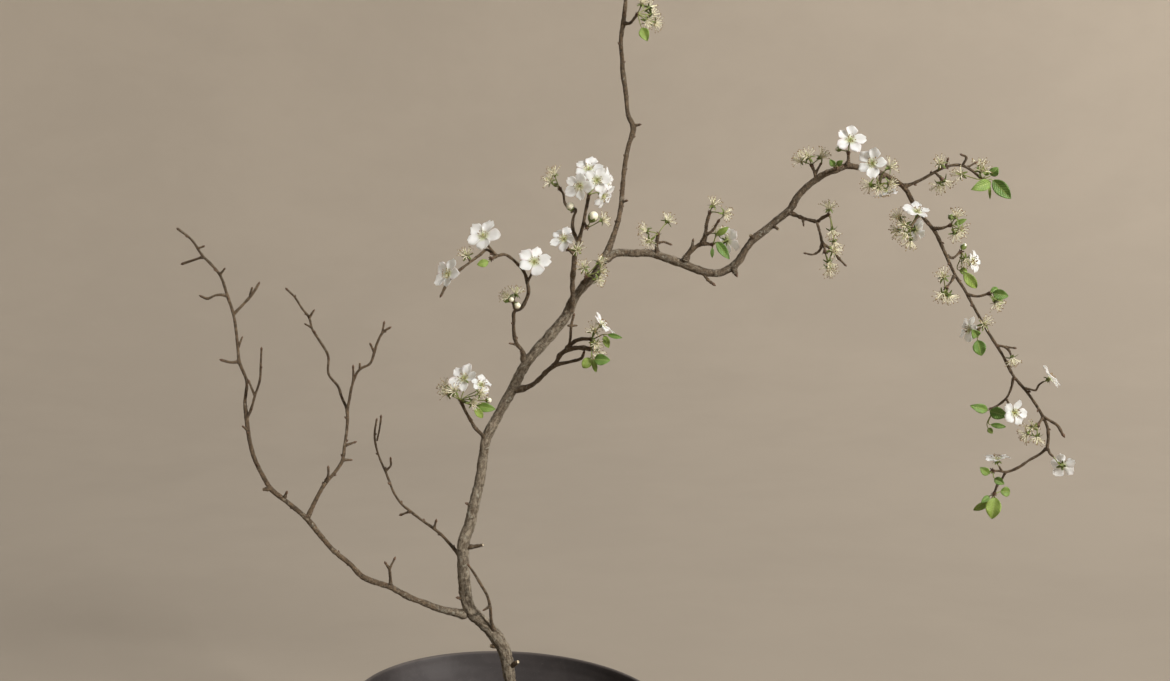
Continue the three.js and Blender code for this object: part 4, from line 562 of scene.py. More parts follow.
class StudioSettings(bpy.types.PropertyGroup):
    backdrop: colour_setting(
        "Backdrop", "Colour of the floor and of the wall that it runs up into", paint(154, 143, 128))
    key: power_setting("Key light", "Power of the soft light from the right", 660)
    fill: power_setting("Fill light", "Power of the soft light from the left", 25)
    wall: power_setting("Wall light", "Power of the light on the wall behind", 60)
    back: power_setting("Back light", "Power of the soft light from behind", 110)
    air: bpy.props.FloatProperty(
        name="Air", description="Strength of the even light from all round",
        subtype="FACTOR", min=0, max=2, default=0.16)


class ArrangementSettings(bpy.types.PropertyGroup):
    wood: bpy.props.PointerProperty(type=WoodSettings)
    blossom: bpy.props.PointerProperty(type=BlossomSettings)
    foliage: bpy.props.PointerProperty(type=FoliageSettings)
    bowl: bpy.props.PointerProperty(type=BowlSettings)
    studio: bpy.props.PointerProperty(type=StudioSettings)


# Directions and routes.


def unit(vector):
    return vector / np.linalg.norm(vector)


def seen(place):
    """A place as seen from the front, slid along the line of sight to its depth."""
    across, up, depth = place[:3]
    on_plane = np.array((across, 0.0, up))
    return EYE + (on_plane - EYE) * ((depth - EYE[1]) / -EYE[1])


def facing(way):
    right, up, toward = way
    return unit(np.array((right, -toward, up), float))


def sideways(direction):
    other = UP if abs(direction[2]) < 0.9 else np.array((1.0, 0.0, 0.0))
    return unit(np.cross(direction, other))


def axes_at(axis, right):
    """Three rows: right, forward and the axis itself."""
    side = unit(right - axis * np.dot(right, axis))
    return np.array((side, np.cross(axis, side), axis))


def axes_along(axis):
    return axes_at(axis, sideways(axis))


def put(points, origin, axes):
    return origin + np.asarray(points, float) @ axes


def spoke(turn):
    """The directions outward and to the left at this turn round the local axis."""
    cos, sin = math.cos(turn), math.sin(turn)
    return np.array((cos, sin, 0.0)), np.array((-sin, cos, 0.0))


def ring_turns(count):
    return math.tau * np.arange(count) / count


def smooth_route(rows, spacing):
    """Rows of (x, y, z, thickness) carried over a smooth curve, about `spacing` apart."""
    rows = np.asarray(rows, float)
    chords = np.linalg.norm(np.diff(rows[:, :3], axis=0), axis=1)
    slopes = np.diff(rows, axis=0) / chords[:, None]
    tangents = np.empty_like(rows)
    tangents[0], tangents[-1] = slopes[0], slopes[-1]
    near, far = chords[:-1, None], chords[1:, None]
    tangents[1:-1] = (slopes[:-1] * far + slopes[1:] * near) / (near + far)
    made = [rows[:1]]
    for i, chord in enumerate(chords):
        steps = max(1, round(chord / spacing))
        t = (np.arange(steps) + 1)[:, None] / steps
        start = (2 * t**3 - 3 * t**2 + 1) * rows[i] + (t**3 - 2 * t**2 + t) * chord * tangents[i]
        end = (3 * t**2 - 2 * t**3) * rows[i + 1] + (t**3 - t**2) * chord * tangents[i + 1]
        made.append(start + end)
    return np.concatenate(made)


def bent(start, leave, end, arrive, count):
    """Points on a curve from `start` along `leave` to `end` along `arrive`."""
    span = np.linalg.norm(end - start)
    first, second = start + 0.35 * span * leave, end - 0.35 * span * arrive
    t = np.linspace(0, 1, count)[:, None]
    return (1 - t) ** 3 * start + 3 * (1 - t) ** 2 * t * first + 3 * (1 - t) * t**2 * second + t**3 * end


def run_length(points):
    """How far along the route each of its points is."""
    return np.concatenate(([0], np.cumsum(np.linalg.norm(np.diff(points, axis=0), axis=1))))


def frames_along(points):
    """Right, forward and direction at each point of a route, without twist."""
    directions = np.gradient(points, axis=0)
    directions /= np.linalg.norm(directions, axis=1)[:, None]
    right = sideways(directions[0])
    frames = []
    for direction in directions:
        axes = axes_at(direction, right)
        right = axes[0]
        frames.append(axes)
    return np.array(frames)


# Shapes.


class Shape:
    """Points and faces of one mesh, with each point's place on what it belongs to and each face's finish."""

    def __init__(self):
        self.points = []
        self.places = []
        self.faces = []
        self.finishes = []
        self.count = 0

    def add(self, points, faces, finish, places):
        self.points.append(np.asarray(points, float).reshape(-1, 3))
        self.places.append(np.asarray(places, float).reshape(-1, 3))
        self.faces.extend(tuple(self.count + corner for corner in face) for face in faces)
        self.finishes.extend([finish] * len(faces))
        self.count += len(self.points[-1])

    def add_face(self, corners, finish):
        """One more face over points that are there already."""
        self.faces.append(tuple(corners))
        self.finishes.append(finish)

    def close_start(self, rings, sides, finish):
        """Closes the first of the rings of points that were added last."""
        first = self.count - rings * sides
        self.add_face(range(first + sides - 1, first - 1, -1), finish)

    def close_end(self, sides, finish):
        self.add_face(range(self.count - sides, self.count), finish)


def grid_faces(rows, columns, closed=False, flip=False):
    """Quads over points that are listed row by row. A closed grid joins its last column to its first."""
    steps = columns if closed else columns - 1
    faces = []
    for row in range(rows - 1):
        for column in range(steps):
            after = (column + 1) % columns
            near, far = row * columns, (row + 1) * columns
            face = (near + column, near + after, far + after, far + column)
            faces.append(face[::-1] if flip else face)
    return faces


def unit_ring(sides):
    turns = ring_turns(sides)
    return np.stack((np.cos(turns), np.sin(turns), np.zeros(sides)), axis=1)


def tube(shape, points, radii, sides, finish, tone=0.0):
    """A round tube along a route, closed at both ends."""
    rings = points[:, None] + np.asarray(radii)[:, None, None] * (unit_ring(sides) @ frames_along(points))
    count = len(points)
    along = np.linspace(0, 1, count)
    places = np.stack((np.zeros(count), along, np.full(count, tone)), axis=1)[:, None].repeat(sides, axis=1)
    shape.add(rings, grid_faces(count, sides, closed=True), finish, places)
    shape.close_start(count, sides, finish)
    shape.close_end(sides, finish)


def blade_grid(columns, rows):
    """Across a blade from -1 to 1, and along it from 0 to 1."""
    return np.linspace(-1, 1, columns)[None], np.linspace(0, 1, rows)[:, None]


def blade_points(turn, distance, side, height):
    """Points of a blade that stands out at this turn round the local axis."""
    out, left = spoke(turn)
    return distance[..., None] * out + side[..., None] * left + height[..., None] * UP


def blade(shape, top, under, finish, finish_under, tone=0.0):
    """A thin closed blade from two grids of points that share an outline, upper side first."""
    rows, columns = top.shape[:2]
    across, along = np.meshgrid(np.linspace(-1, 1, columns), np.linspace(0, 1, rows))
    places = np.stack((across, along, np.full_like(across, tone)), axis=2)
    first = shape.count
    shape.add(top, grid_faces(rows, columns), finish, places)
    shape.add(under, grid_faces(rows, columns, flip=True), finish_under, places)
    outline = list(range(columns))
    outline += [row * columns + columns - 1 for row in range(1, rows)]
    outline += [(rows - 1) * columns + column for column in range(columns - 2, -1, -1)]
    outline += [row * columns for row in range(rows - 2, 0, -1)]
    offset = rows * columns
    for here, after in zip(outline, outline[1:] + outline[:1]):
        corners = (first + after, first + here, first + here + offset, first + after + offset)
        shape.add_face(corners, finish_under)


def turned(profile, sides, lobes=0.0):
    """Points of a turned form, the turn of each as a share of half a round, and its radius."""
    turns = ring_turns(sides)
    swell = 1 + lobes * np.cos(PETAL_COUNT * turns[None] + 1.2 * profile[:, 1:])
    radius = profile[:, :1] * swell
    height = np.broadcast_to(profile[:, 1:], radius.shape)
    points = np.stack((radius * np.cos(turns), radius * np.sin(turns), height), axis=2)
    return points, np.broadcast_to(turns / math.pi, radius.shape), radius


def round_shape(shape, profile, sides, finish, origin, axes, lobes=0.0):
    """A turned form: rows of (radius, height) from its foot to its tip. Lobes make it five-sided."""
    points, turn, radius = turned(np.asarray(profile, float), sides, lobes)
    places = np.stack((turn, points[..., 2], radius), axis=2)
    shape.add(put(points, origin, axes), grid_faces(len(profile), sides, closed=True), finish, places)


def lathe(shape, profile, sides, finish, close=True):
    """A form turned round the bowl's axis: rows of (radius, height) from the foot to the middle again."""
    profile = np.asarray(profile, float)
    points, turn, radius = turned(profile, sides)
    drawn = np.broadcast_to(run_length(profile)[:, None], radius.shape)
    places = np.stack((turn, drawn, radius), axis=2)
    shape.add(points, grid_faces(len(profile), sides, closed=True), finish, places)
    if close:
        shape.close_start(len(profile), sides, finish)
        shape.close_end(sides, finish)


def make_object(name, shape, finishes):
    """One Blender mesh from a shape."""
    mesh = bpy.data.meshes.new(name)
    mesh.from_pydata(np.concatenate(shape.points) * MM, [], shape.faces)
    used = sorted(set(shape.finishes))
    for finish in used:
        mesh.materials.append(finishes[finish])
    mesh.polygons.foreach_set("material_index", [used.index(finish) for finish in shape.finishes])
    mesh.polygons.foreach_set("use_smooth", [True] * len(shape.faces))
    place = mesh.attributes.new("place", "FLOAT_VECTOR", "POINT")
    place.data.foreach_set("vector", np.concatenate(shape.places).astype(np.float32).ravel())
    mesh.update()
    made = bpy.data.objects.new(name, mesh)
    bpy.context.scene.collection.objects.link(made)
    return made


def make_piece(name, shape, finishes, node):
    """A piece of the part, which stands for one of its CAD nodes."""
    piece = make_object(name, shape, finishes)
    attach(piece, "root")
    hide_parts(node)


# Wood.


def limb_route(name, spacing):
    rows = LIMBS.get(name) or NUBS[name]
    return smooth_route([(*seen(row), row[3]) for row in rows], spacing)


def coarse_routes():
    return {name: limb_route(name, COARSE_STEP) for name in [*LIMBS, *NUBS]}


def limb_end(name):
    last, end = (seen(row) for row in LIMBS[name][-2:])
    return end, unit(end - last)


def has_word(name, words):
    return any(word in name for word in words)


def uneven(points, scale, offset=0.0):
    """Smooth noise between about -1 and 1 at each point."""
    return np.array([noise.noise(Vector(point) * scale + Vector((offset, 0, 0))) for point in points])


def knobbly(points, radii, name, ring_pitch):
    """Radius of the wood at each point of a limb: uneven all over, with scar rings on a spur."""
    if name.startswith(DROOPING):
        radii = radii * np.interp(radii, (1.8, 2.5), (SLENDER_WOOD, 1.0))
    else:
        radii = radii * np.interp(radii, (1.2, 3.2), (YOUNG_WOOD, 1.0))
    radii = radii * (1 + 0.1 * uneven(points, 0.09) + 0.12 * uneven(points, 0.35))
    if name.startswith(FLOWERING):
        radii = radii * (1 + KNUCKLE_SWELL * np.maximum(uneven(points, 0.2, 40), -0.25))
    if has_word(name, SCARRED):
        scars = np.maximum(0, np.cos(math.tau * run_length(points) / ring_pitch)) ** 5
        radii = radii * (1 + SCAR_SWELL * scars)
    return radii


def flare(radii, length, parent_radius):
    """Widens a limb where it leaves its parent, and rounds off the end that is hidden inside."""
    beyond = np.maximum(length - parent_radius, 0)
    inside = np.minimum(length / max(0.8 * parent_radius, 0.1), 1)
    return radii * (1 + FLARE_SWELL * np.exp(-beyond / (1.1 * radii[0]))) * (0.3 + 0.7 * np.sqrt(inside))


def add_limb(shape, name, parent_radius, ring_pitch, offset):
    """One limb of the branch, as an uneven tube that ends in a blunt tip. A stub ends in a sawn face."""
    route = limb_route(name, SPUR_STEP if has_word(name, FINELY_DRAWN) else LIMB_STEP)
    points, radii = route[:, :3], route[:, 3] / 2
    length = run_length(points)
    radii = knobbly(points, radii, name, ring_pitch)
    if name != "trunk":
        radii = flare(radii, length, parent_radius)
    sawn = "stub" in name
    steps = np.array((0.05, 0.06) if sawn else (0.5, 0.7)) * radii[-1]
    points = np.concatenate((points, points[-1] + steps[:, None] * unit(points[-1] - points[-2])))
    radii = np.concatenate((radii, np.array((0.9, 0.02) if sawn else (0.75, 0.02)) * radii[-1]))
    length = np.concatenate((length, length[-1] + steps))
    sides = int(np.clip(math.tau * radii.max() / BARK_FACE, 9, 36))
    ring = unit_ring(sides)
    outward = ring @ frames_along(points)
    smooth = (points[:, None] + radii[:, None, None] * outward).reshape(-1, 3)
    bumps = (0.6 * uneven(smooth, 0.22) + 0.4 * uneven(smooth, 0.7)).reshape(len(points), sides)
    depth = BARK_RELIEF * np.minimum(radii, 3.0)[:, None] * bumps
    rings = smooth.reshape(outward.shape) + depth[..., None] * outward
    places = radii[:, None, None] * ring
    places[..., 2] = length[:, None] + offset
    shape.add(rings, grid_faces(len(points), sides, closed=True), "bark", places)
    if sawn:
        shape.finishes[-sides:] = ["cut_wood"] * sides
    shape.close_start(len(points), sides, "cut_wood")


def parent_radii():
    """Radius of the wood that each limb grows out of."""
    routes = coarse_routes()
    found = {}
    for name, route in routes.items():
        nearest = []
        for other, path in routes.items():
            if other != name and path[0, 3] >= route[0, 3] * 0.9:
                gaps = np.linalg.norm(path[:, :3] - route[0, :3], axis=1)
                nearest.append((gaps.min(), path[gaps.argmin(), 3] / 2))
        found[name] = min(nearest)[1] if nearest else 0.0
    return found


def bare_ends():
    """The limbs that carry nothing at their end and don't go on as another limb."""
    carriers = {spray["limb"] for spray in [*SPRAYS.values(), *TWIG_FLOWERS.values()]}
    routes = coarse_routes()
    starts = np.array([route[0, :3] for route in routes.values()])
    return [
        name for name, route in routes.items()
        if name not in carriers and "stub" not in name
        and np.linalg.norm(starts - route[-1, :3], axis=1).min() > route[-1, 3]
    ]


def resting_bud(shape, middle, direction, size):
    """A small pointed winter bud of overlapping scales."""
    round_shape(shape, np.array(WINTER_BUD) * size, 8, "bud_scale", middle, axes_along(direction), lobes=0.06)


def add_resting_buds(shape, pitch):
    """Resting buds on alternate sides of the bare twigs, and one at the end of each."""
    draw = random.Random(BUD_SEED)
    for name in bare_ends():
        route = limb_route(name, 1.0)
        ahead = unit(route[-1, :3] - route[-2, :3])
        resting_bud(shape, route[-1, :3] - 0.1 * ahead, ahead, route[-1, 3] * draw.uniform(0.85, 1.05))
    for name in BUDDED:
        route = limb_route(name, 1.0)
        points, radii = route[:, :3], route[:, 3] / 2
        frames = frames_along(points)
        place = draw.uniform(0.6, 1.0) * pitch
        turn = draw.uniform(0, math.tau)
        while place < len(points) - 3:
            i = int(place)
            if radii[i] < BUDDED_GIRTH:
                out = math.cos(turn) * frames[i, 0] + math.sin(turn) * frames[i, 1]
                lean = unit(out + 1.1 * frames[i, 2])
                resting_bud(shape, points[i] + radii[i] * 0.8 * out, lean, draw.uniform(1.3, 2.0))
            place += draw.uniform(0.7, 1.3) * pitch
            turn += math.pi * draw.uniform(0.75, 1.25)


# Flowers, buds and leaves.


def leaning(out, angle):
    """The direction that leans outward from the local axis by this angle."""
    return out * math.sin(angle) + UP * math.cos(angle)


def add_stamens(shape, origin, axes, count, reach, lean, foot, draw, filament):
    """A brush of stamens, each a curved thread with its anther. They start at `foot`: (radius, height)."""
    for i in range(count):
        out, _ = spoke(math.tau * (i * GOLDEN_TURN + draw.uniform(-0.03, 0.03)))
        spread = draw.uniform(*lean)
        length = reach * draw.uniform(0.8, 1.12)
        start = out * foot[0] * draw.uniform(0.45, 1.0) + UP * foot[1]
        tip = start + length * leaning(out, spread)
        curve = bent(start, leaning(out, 0.6 * spread), tip, leaning(out, 1.3 * spread), 5)
        route = put(curve, origin, axes)
        tube(shape, route, np.linspace(filament, 0.65 * filament, 5), 4, "filament", draw.random())
        ends = axes_along(unit(route[-1] - route[-2]))
        round_shape(shape, np.array(ANTHER) * draw.uniform(0.9, 1.25), 6, "anther", route[-1], ends)


def add_scale(shape, origin, axes, turn, distance, half, height, thick, finish, draw):
    """A small pointed scale against a round body. Distance and height are in five rows, foot to tip."""
    across, along = blade_grid(3, 5)
    side = across * half * np.sqrt(1 - along)
    top = blade_points(turn, distance, side, height)
    under = top - thick * spoke(turn)[0]
    blade(shape, put(top, origin, axes), put(under, origin, axes), finish, finish, draw.random())


def add_calyx(shape, origin, axes, draw, droop=SEPAL_DROOP, reach=SEPAL_REACH):
    """The green cup under a flower with its five pointed sepals."""
    round_shape(shape, CALYX, 15, "sepal", origin, axes, lobes=0.03)
    across, along = blade_grid(5, 7)
    half = 1.2 * np.sqrt(1 - along) * (0.75 + 0.5 * along)
    height = -0.45 - droop * along**1.6 + 0.35 * across**2 * (1 - along)
    for k in range(PETAL_COUNT):
        turn = math.tau * k / PETAL_COUNT + draw.uniform(-0.08, 0.08)
        distance = SEPAL_ROOT + (reach - SEPAL_ROOT) * along * draw.uniform(0.95, 1.1)
        top = blade_points(turn, distance, across * half, height)
        under = top - 0.22 * UP * (1 - 0.8 * along)[..., None]
        blade(shape, put(top, origin, axes), put(under, origin, axes), "sepal", "sepal", draw.random())


def stalk_rings(start, end, least=5):
    """How many rings of points a stalk of this length takes."""
    return max(least, int(np.linalg.norm(end - start) / STALK_STEP))


def add_stalk(shape, start, leave, origin, axis, draw):
    """The green stalk to the foot of a flower's cup."""
    foot = origin - CALYX_DEPTH * axis
    count = stalk_rings(start, foot)
    radii = np.interp(np.linspace(0, 1, count), (0, 0.12, 0.85, 1), (0.75, 0.48, 0.46, 0.62))
    tube(shape, bent(start, leave, foot, axis, count), radii, 8, "stalk", draw.random())


def add_petal(shape, origin, axes, turn, reach, rise, draw):
    """One cupped petal with a narrow claw, a round notched end and a ruffled edge, no two alike."""
    across, along = blade_grid(13, 15)
    along = np.sin(math.pi / 2 * along) ** 1.15
    reach = reach * draw.uniform(0.9, 1.05)
    broad = PETAL_HALF_WIDTH * reach * draw.uniform(1.06, 1.28)
    claw = 0.2 + 0.8 * np.sin(math.pi / 2 * np.minimum(along / PETAL_BELLY, 1)) ** 1.3
    crown = 1 - 0.42 * (np.maximum(along - PETAL_BELLY, 0) / (1 - PETAL_BELLY)) ** 2.2
    wave = draw.uniform(0, math.tau)
    half = broad * claw * crown * (1 + 0.06 * np.sin(7 * along + wave))
    notch = draw.uniform(0.0, 0.09) * np.exp(-((across - draw.uniform(-0.2, 0.2)) / 0.25) ** 2)
    scallop = 0.03 * np.sin(6.5 * across + 2 * wave)
    outline = 1 - 0.17 * np.abs(across) ** 3 * along**2 - (notch + scallop) * along**5
    distance = PETAL_ROOT + (reach - PETAL_ROOT) * along * outline
    cup = PETAL_CUP * (0.2 + across**2 * np.sin(math.pi * along**0.8) * draw.uniform(0.3, 1.6))
    edge_waves = 0.34 * np.sin(8 * along - wave) * np.abs(across) ** 1.5
    ruffle = 0.42 * np.sin(4.2 * across + wave) * along**2 + edge_waves
    roll = draw.uniform(-0.3, 0.3) * broad * across * along
    curl = draw.uniform(-2.2, 1.0) * along**3.5
    height = 0.75 + rise * distance * draw.uniform(0.7, 1.35) + cup + ruffle + roll + curl
    side = across * half + draw.uniform(-0.1, 0.1) * distance * along
    top = blade_points(turn, distance, side, height)
    thick = PETAL_THICK * (1 - 0.75 * np.maximum(np.abs(across), along) ** 6)
    under = top - thick[..., None] * UP
    blade(shape, put(top, origin, axes), put(under, origin, axes), "petal", "petal", draw.random())


def add_bloom(shape, place, way, width, stamens, draw):
    """The open part of a bloom: five petals, a brush of stamens and a green pistil."""
    origin = seen(place)
    axes = axes_along(facing(way))
    round_shape(shape, HUB, 15, "heart", origin, axes, lobes=0.04)
    for k in range(PETAL_COUNT):
        turn = math.tau * (k + 0.5) / PETAL_COUNT + draw.uniform(-0.12, 0.12)
        add_petal(shape, origin, axes, turn, width / 2, PETAL_RISES[k % len(PETAL_RISES)], draw)
    add_stamens(shape, origin, axes, stamens, 0.4 * width / 2, (0.12, 0.85), (1.35, 0.7), draw, 0.13)
    for k in range(3):
        out, _ = spoke(math.tau * k / 3)
        route = put(np.linspace(UP * 0.7, 0.5 * out + UP * 0.32 * width / 2, 4), origin, axes)
        tube(shape, route, (0.2, 0.14, 0.13, 0.24), 5, "heart", 0.5)


def add_spent_flower(shape, origin, axis, stamens, draw):
    """A flower that has lost its petals: the calyx and its brush of stamens."""
    axes = axes_along(axis)
    add_calyx(shape, origin, axes, draw, draw.uniform(1.0, 3.0), draw.uniform(4.8, 5.8))
    add_stamens(shape, origin, axes, stamens + 4, 7.8, (0.15, 1.2), (1.45, -0.1), draw, 0.3)
    pistil = put(np.linspace(UP * -0.2, UP * 6.2, 4), origin, axes)
    tube(shape, pistil, (0.3, 0.2, 0.18, 0.34), 5, "heart", 0.5)


def add_bud(shape, start, leave, origin, width, draw):
    """A closed bud: overlapping petals in a green cup, on its stalk."""
    axis = unit(origin - start)
    axes = axes_along(axis)
    count = stalk_rings(start, origin)
    radii = np.interp(np.linspace(0, 1, count), (0, 0.15, 1), (0.7, 0.45, 0.5))
    tube(shape, bent(start, leave, origin - 0.6 * width * axis, axis, count), radii, 8, "stalk", 0.4)
    heights = np.linspace(-0.5, 0.5, 12)
    radii = 0.46 * np.sqrt(np.maximum(1e-4, 1 - (2 * heights) ** 2)) ** 0.85
    ball = np.stack((radii, heights + 0.06), axis=1)
    round_shape(shape, ball * width, 20, "bud", origin, axes, lobes=0.045)
    round_shape(shape, np.array(BUD_CUP) * width, 15, "sepal", origin, axes, lobes=0.04)
    _, along = blade_grid(3, 5)
    distance, height = width * (0.45 + 0.05 * along), width * (-0.14 + 0.34 * along)
    for k in range(PETAL_COUNT):
        turn = math.tau * k / PETAL_COUNT + draw.uniform(-0.1, 0.1)
        add_scale(shape, origin, axes, turn, distance, 0.2 * width, height, 0.04 * width, "sepal", draw)


def add_leaf(shape, start, foot, tip, width, draw):
    """A small pointed leaf on its stalk: folded along the midrib, arched and finely toothed."""
    length = np.linalg.norm(tip - foot)
    ahead = (tip - foot) / length
    side = unit(np.cross(ahead, unit(EYE - foot)))
    above = np.cross(side, ahead)
    leave = unit(unit(foot - start) + 0.6 * ahead)
    count = stalk_rings(start, foot, least=4)
    route = bent(start, leave, foot + 0.5 * ahead, ahead, count)
    tube(shape, route, np.linspace(0.55, 0.36, count), 7, "stalk", draw.random())
    rows, columns = 31, 9
    across, along = blade_grid(columns, rows)
    teeth = 1 + 0.035 * (np.arange(rows)[:, None] % 2)
    half = LEAF_HALF_WIDTH * width * np.sin(math.pi * along**0.88) ** 0.72 * teeth
    half[0], half[-1] = 0.02 * width, 0.02 * width
    arch = length * (0.3 * along * (1 - along) - LEAF_ARCH * along**5)
    fold = LEAF_FOLD * width * np.abs(across) ** 1.2 * np.sin(math.pi * along) ** 0.6
    ripple = 0.035 * width * np.sin(14 * along + draw.uniform(0, math.tau)) * across**2
    vein_turn = math.tau * (LEAF_VEIN_PAIRS * along - LEAF_VEIN_SLANT * np.abs(across))
    veins = 0.02 * width * np.cos(vein_turn) * np.sin(math.pi * along)
    height = arch + fold + ripple + veins
    middle = foot + (length * along)[..., None] * ahead
    top = middle + (across * half)[..., None] * side + height[..., None] * above
    blade(shape, top, top - LEAF_THICK * above, "leaf", "leaf_under", draw.random())
    rib = top[:, columns // 2] - 0.28 * above
    tube(shape, rib[:-1], np.linspace(0.34, 0.12, rows - 1), 6, "leaf_rib", 0.5)


def add_knob(shape, end, direction, draw):
    """The swollen end of a spur that everything in a spray grows from, with its papery scales."""
    axes = axes_along(direction)
    knob = end + direction * (GAP + KNOB_RADIUS)
    round_shape(shape, KNOB, 14, "bud_scale", knob, axes, lobes=0.07)
    _, along = blade_grid(3, 5)
    for k in range(KNOB_SCALES):
        turn = math.tau * k * (1 - GOLDEN_TURN) + draw.uniform(-0.2, 0.2)
        reach = draw.uniform(1.6, 2.8)
        distance = 1.35 + reach * along * 0.75
        height = -0.9 + 0.22 * k + reach * (0.8 * along - 0.5 * along**2)
        add_scale(shape, knob, axes, turn, distance, 0.75, height, 0.15, "bud_scale", draw)
    return knob


def add_spray(shape, spray, stamens, draw, on_knob=True):
    """Everything that grows from the end of one limb, apart from the petals of its open blooms."""
    end, direction = limb_end(spray["limb"])
    root = add_knob(shape, end, direction, draw) if on_knob else end

    def stalk_start(place):
        """Where the stalk toward this place starts, and its direction there."""
        if not on_knob:
            return end - direction, direction
        leave = unit(unit(place - root) + STALK_SPREAD * direction)
        return root + STALK_ROOT * leave, leave

    for place, way, _ in spray.get("open", []):
        origin, axis = seen(place), facing(way)
        add_stalk(shape, *stalk_start(origin - CALYX_DEPTH * axis), origin, axis, draw)
        add_calyx(shape, origin, axes_along(axis), draw)
    for place in spray.get("spent", []):
        origin = seen(place)
        axis = facing(place[3:]) if len(place) > 3 else unit(origin - root)
        add_stalk(shape, *stalk_start(origin), origin, axis, draw)
        add_spent_flower(shape, origin, axis, stamens, draw)
    for place, width in spray.get("buds", []):
        add_bud(shape, *stalk_start(seen(place)), seen(place), width, draw)
    for foot, tip, width in spray.get("leaves", []):
        add_leaf(shape, stalk_start(seen(foot))[0], seen(foot), seen(tip), width, draw)


def open_blooms():
    """Name, place, facing and width of every open bloom."""
    for name, spray in TWIG_FLOWERS.items():
        for bloom in spray.get("open", []):
            yield name, *bloom
    for name, spray in SPRAYS.items():
        for i, bloom in enumerate(spray.get("open", [])):
            yield f"{name.replace('spray', 'bloom')}_{i + 1}", *bloom


# Bowl, water and pin holder.


def make_oval(shape):
    """Presses the round form into the bowl's oval and turns it as it stands."""
    cos, sin = math.cos(OVAL_TURN), math.sin(OVAL_TURN)
    for points in shape.points:
        x, y = points[:, 0] * OVAL_LONG, points[:, 1] * OVAL_SHORT
        points[:, 0], points[:, 1] = x * cos - y * sin, x * sin + y * cos


def through(corners, spacing):
    """A smooth profile through (radius, height) corners."""
    return smooth_route([(radius, 0, height, 0) for radius, height in corners], spacing)[:, (0, 2)]


def bowl_shape():
    shape = Shape()
    outside, inside = (through(wall, 2.5) for wall in (BOWL_OUTSIDE, BOWL_INSIDE))
    profile = [*BOWL_FOOT, *outside, *BOWL_LIP, *inside, (2, FLOOR_THICK)]
    lathe(shape, profile, TURNED_SIDES, "stoneware")
    make_oval(shape)
    return shape


def holder_shape():
    """The heavy plate with its rows of pins. The ones under the stem are sunk in the wood."""
    shape = Shape()
    low, top = FLOOR_THICK + GAP, PLATE_TOP
    edge = [(2, low), (30, low), (31.4, low + 0.4), (HOLDER_RADIUS, low + 1.2), (HOLDER_RADIUS, top - 1.4),
            (31.5, top - 0.4), (30.5, top), (2, top)]
    lathe(shape, edge, 96, "holder_plate")
    stem = limb_route("trunk", COARSE_STEP)[0]
    rows = math.ceil(HOLDER_RADIUS / PIN_PITCH)
    for row in range(-rows, rows + 1):
        for column in range(-rows, rows + 1):
            x = (column + math.fmod(row, 2) / 2) * PIN_PITCH
            y = row * PIN_PITCH * math.sin(math.pi / 3)
            if math.hypot(x, y) >= HOLDER_RADIUS - PLATE_MARGIN:
                continue
            sunk = math.hypot(x + HOLDER_X - stem[0], y - stem[1]) < STEM_HOLE_RADIUS + PIN_ROOT
            length = SUNK_PIN if sunk else PIN_LENGTH
            pin = [(PIN_ROOT, -0.5), (PIN_ROOT, 0), (0.95, 0.3), (0.85, 0.65 * length), (0.6, 0.85 * length),
                   (0.05, length)]
            round_shape(shape, pin, 10, "pin", np.array((x, y, top)), np.eye(3))
    for points in shape.points:
        points[:, 0] += HOLDER_X
    return shape


def water_shape():
    """The water in the bowl. It creeps up a little at the wall and at the stem."""
    shape = Shape()
    radii = [*np.arange(2, 24, 0.8), *np.arange(24, 118, 3.0), *np.linspace(119, WATER_RADIUS, 18)]
    surface = [
        (radius, WATER_LEVEL + WATER_CREEP * math.exp((radius - WATER_RADIUS) / 1.6)) for radius in radii]
    lathe(shape, [*through(WATER_BED[::-1], 4)[::-1], *surface[::-1]], TURNED_SIDES, "water")
    make_oval(shape)
    stem = limb_route("trunk", COARSE_STEP)
    middle = stem[np.abs(stem[:, 2] - WATER_LEVEL).argmin()]
    for points in shape.points:
        from_stem = np.hypot(points[:, 0] - middle[0], points[:, 1] - middle[1])
        creep = WATER_CREEP * np.exp(-np.maximum(from_stem - WET_STEM_RADIUS, 0) / 1.4)
        points[:, 2] += np.where(points[:, 2] > WATER_LEVEL - 0.1, creep, 0)
    return shape


# Finishes.


def opaque(colour):
    return (*colour, 1.0)


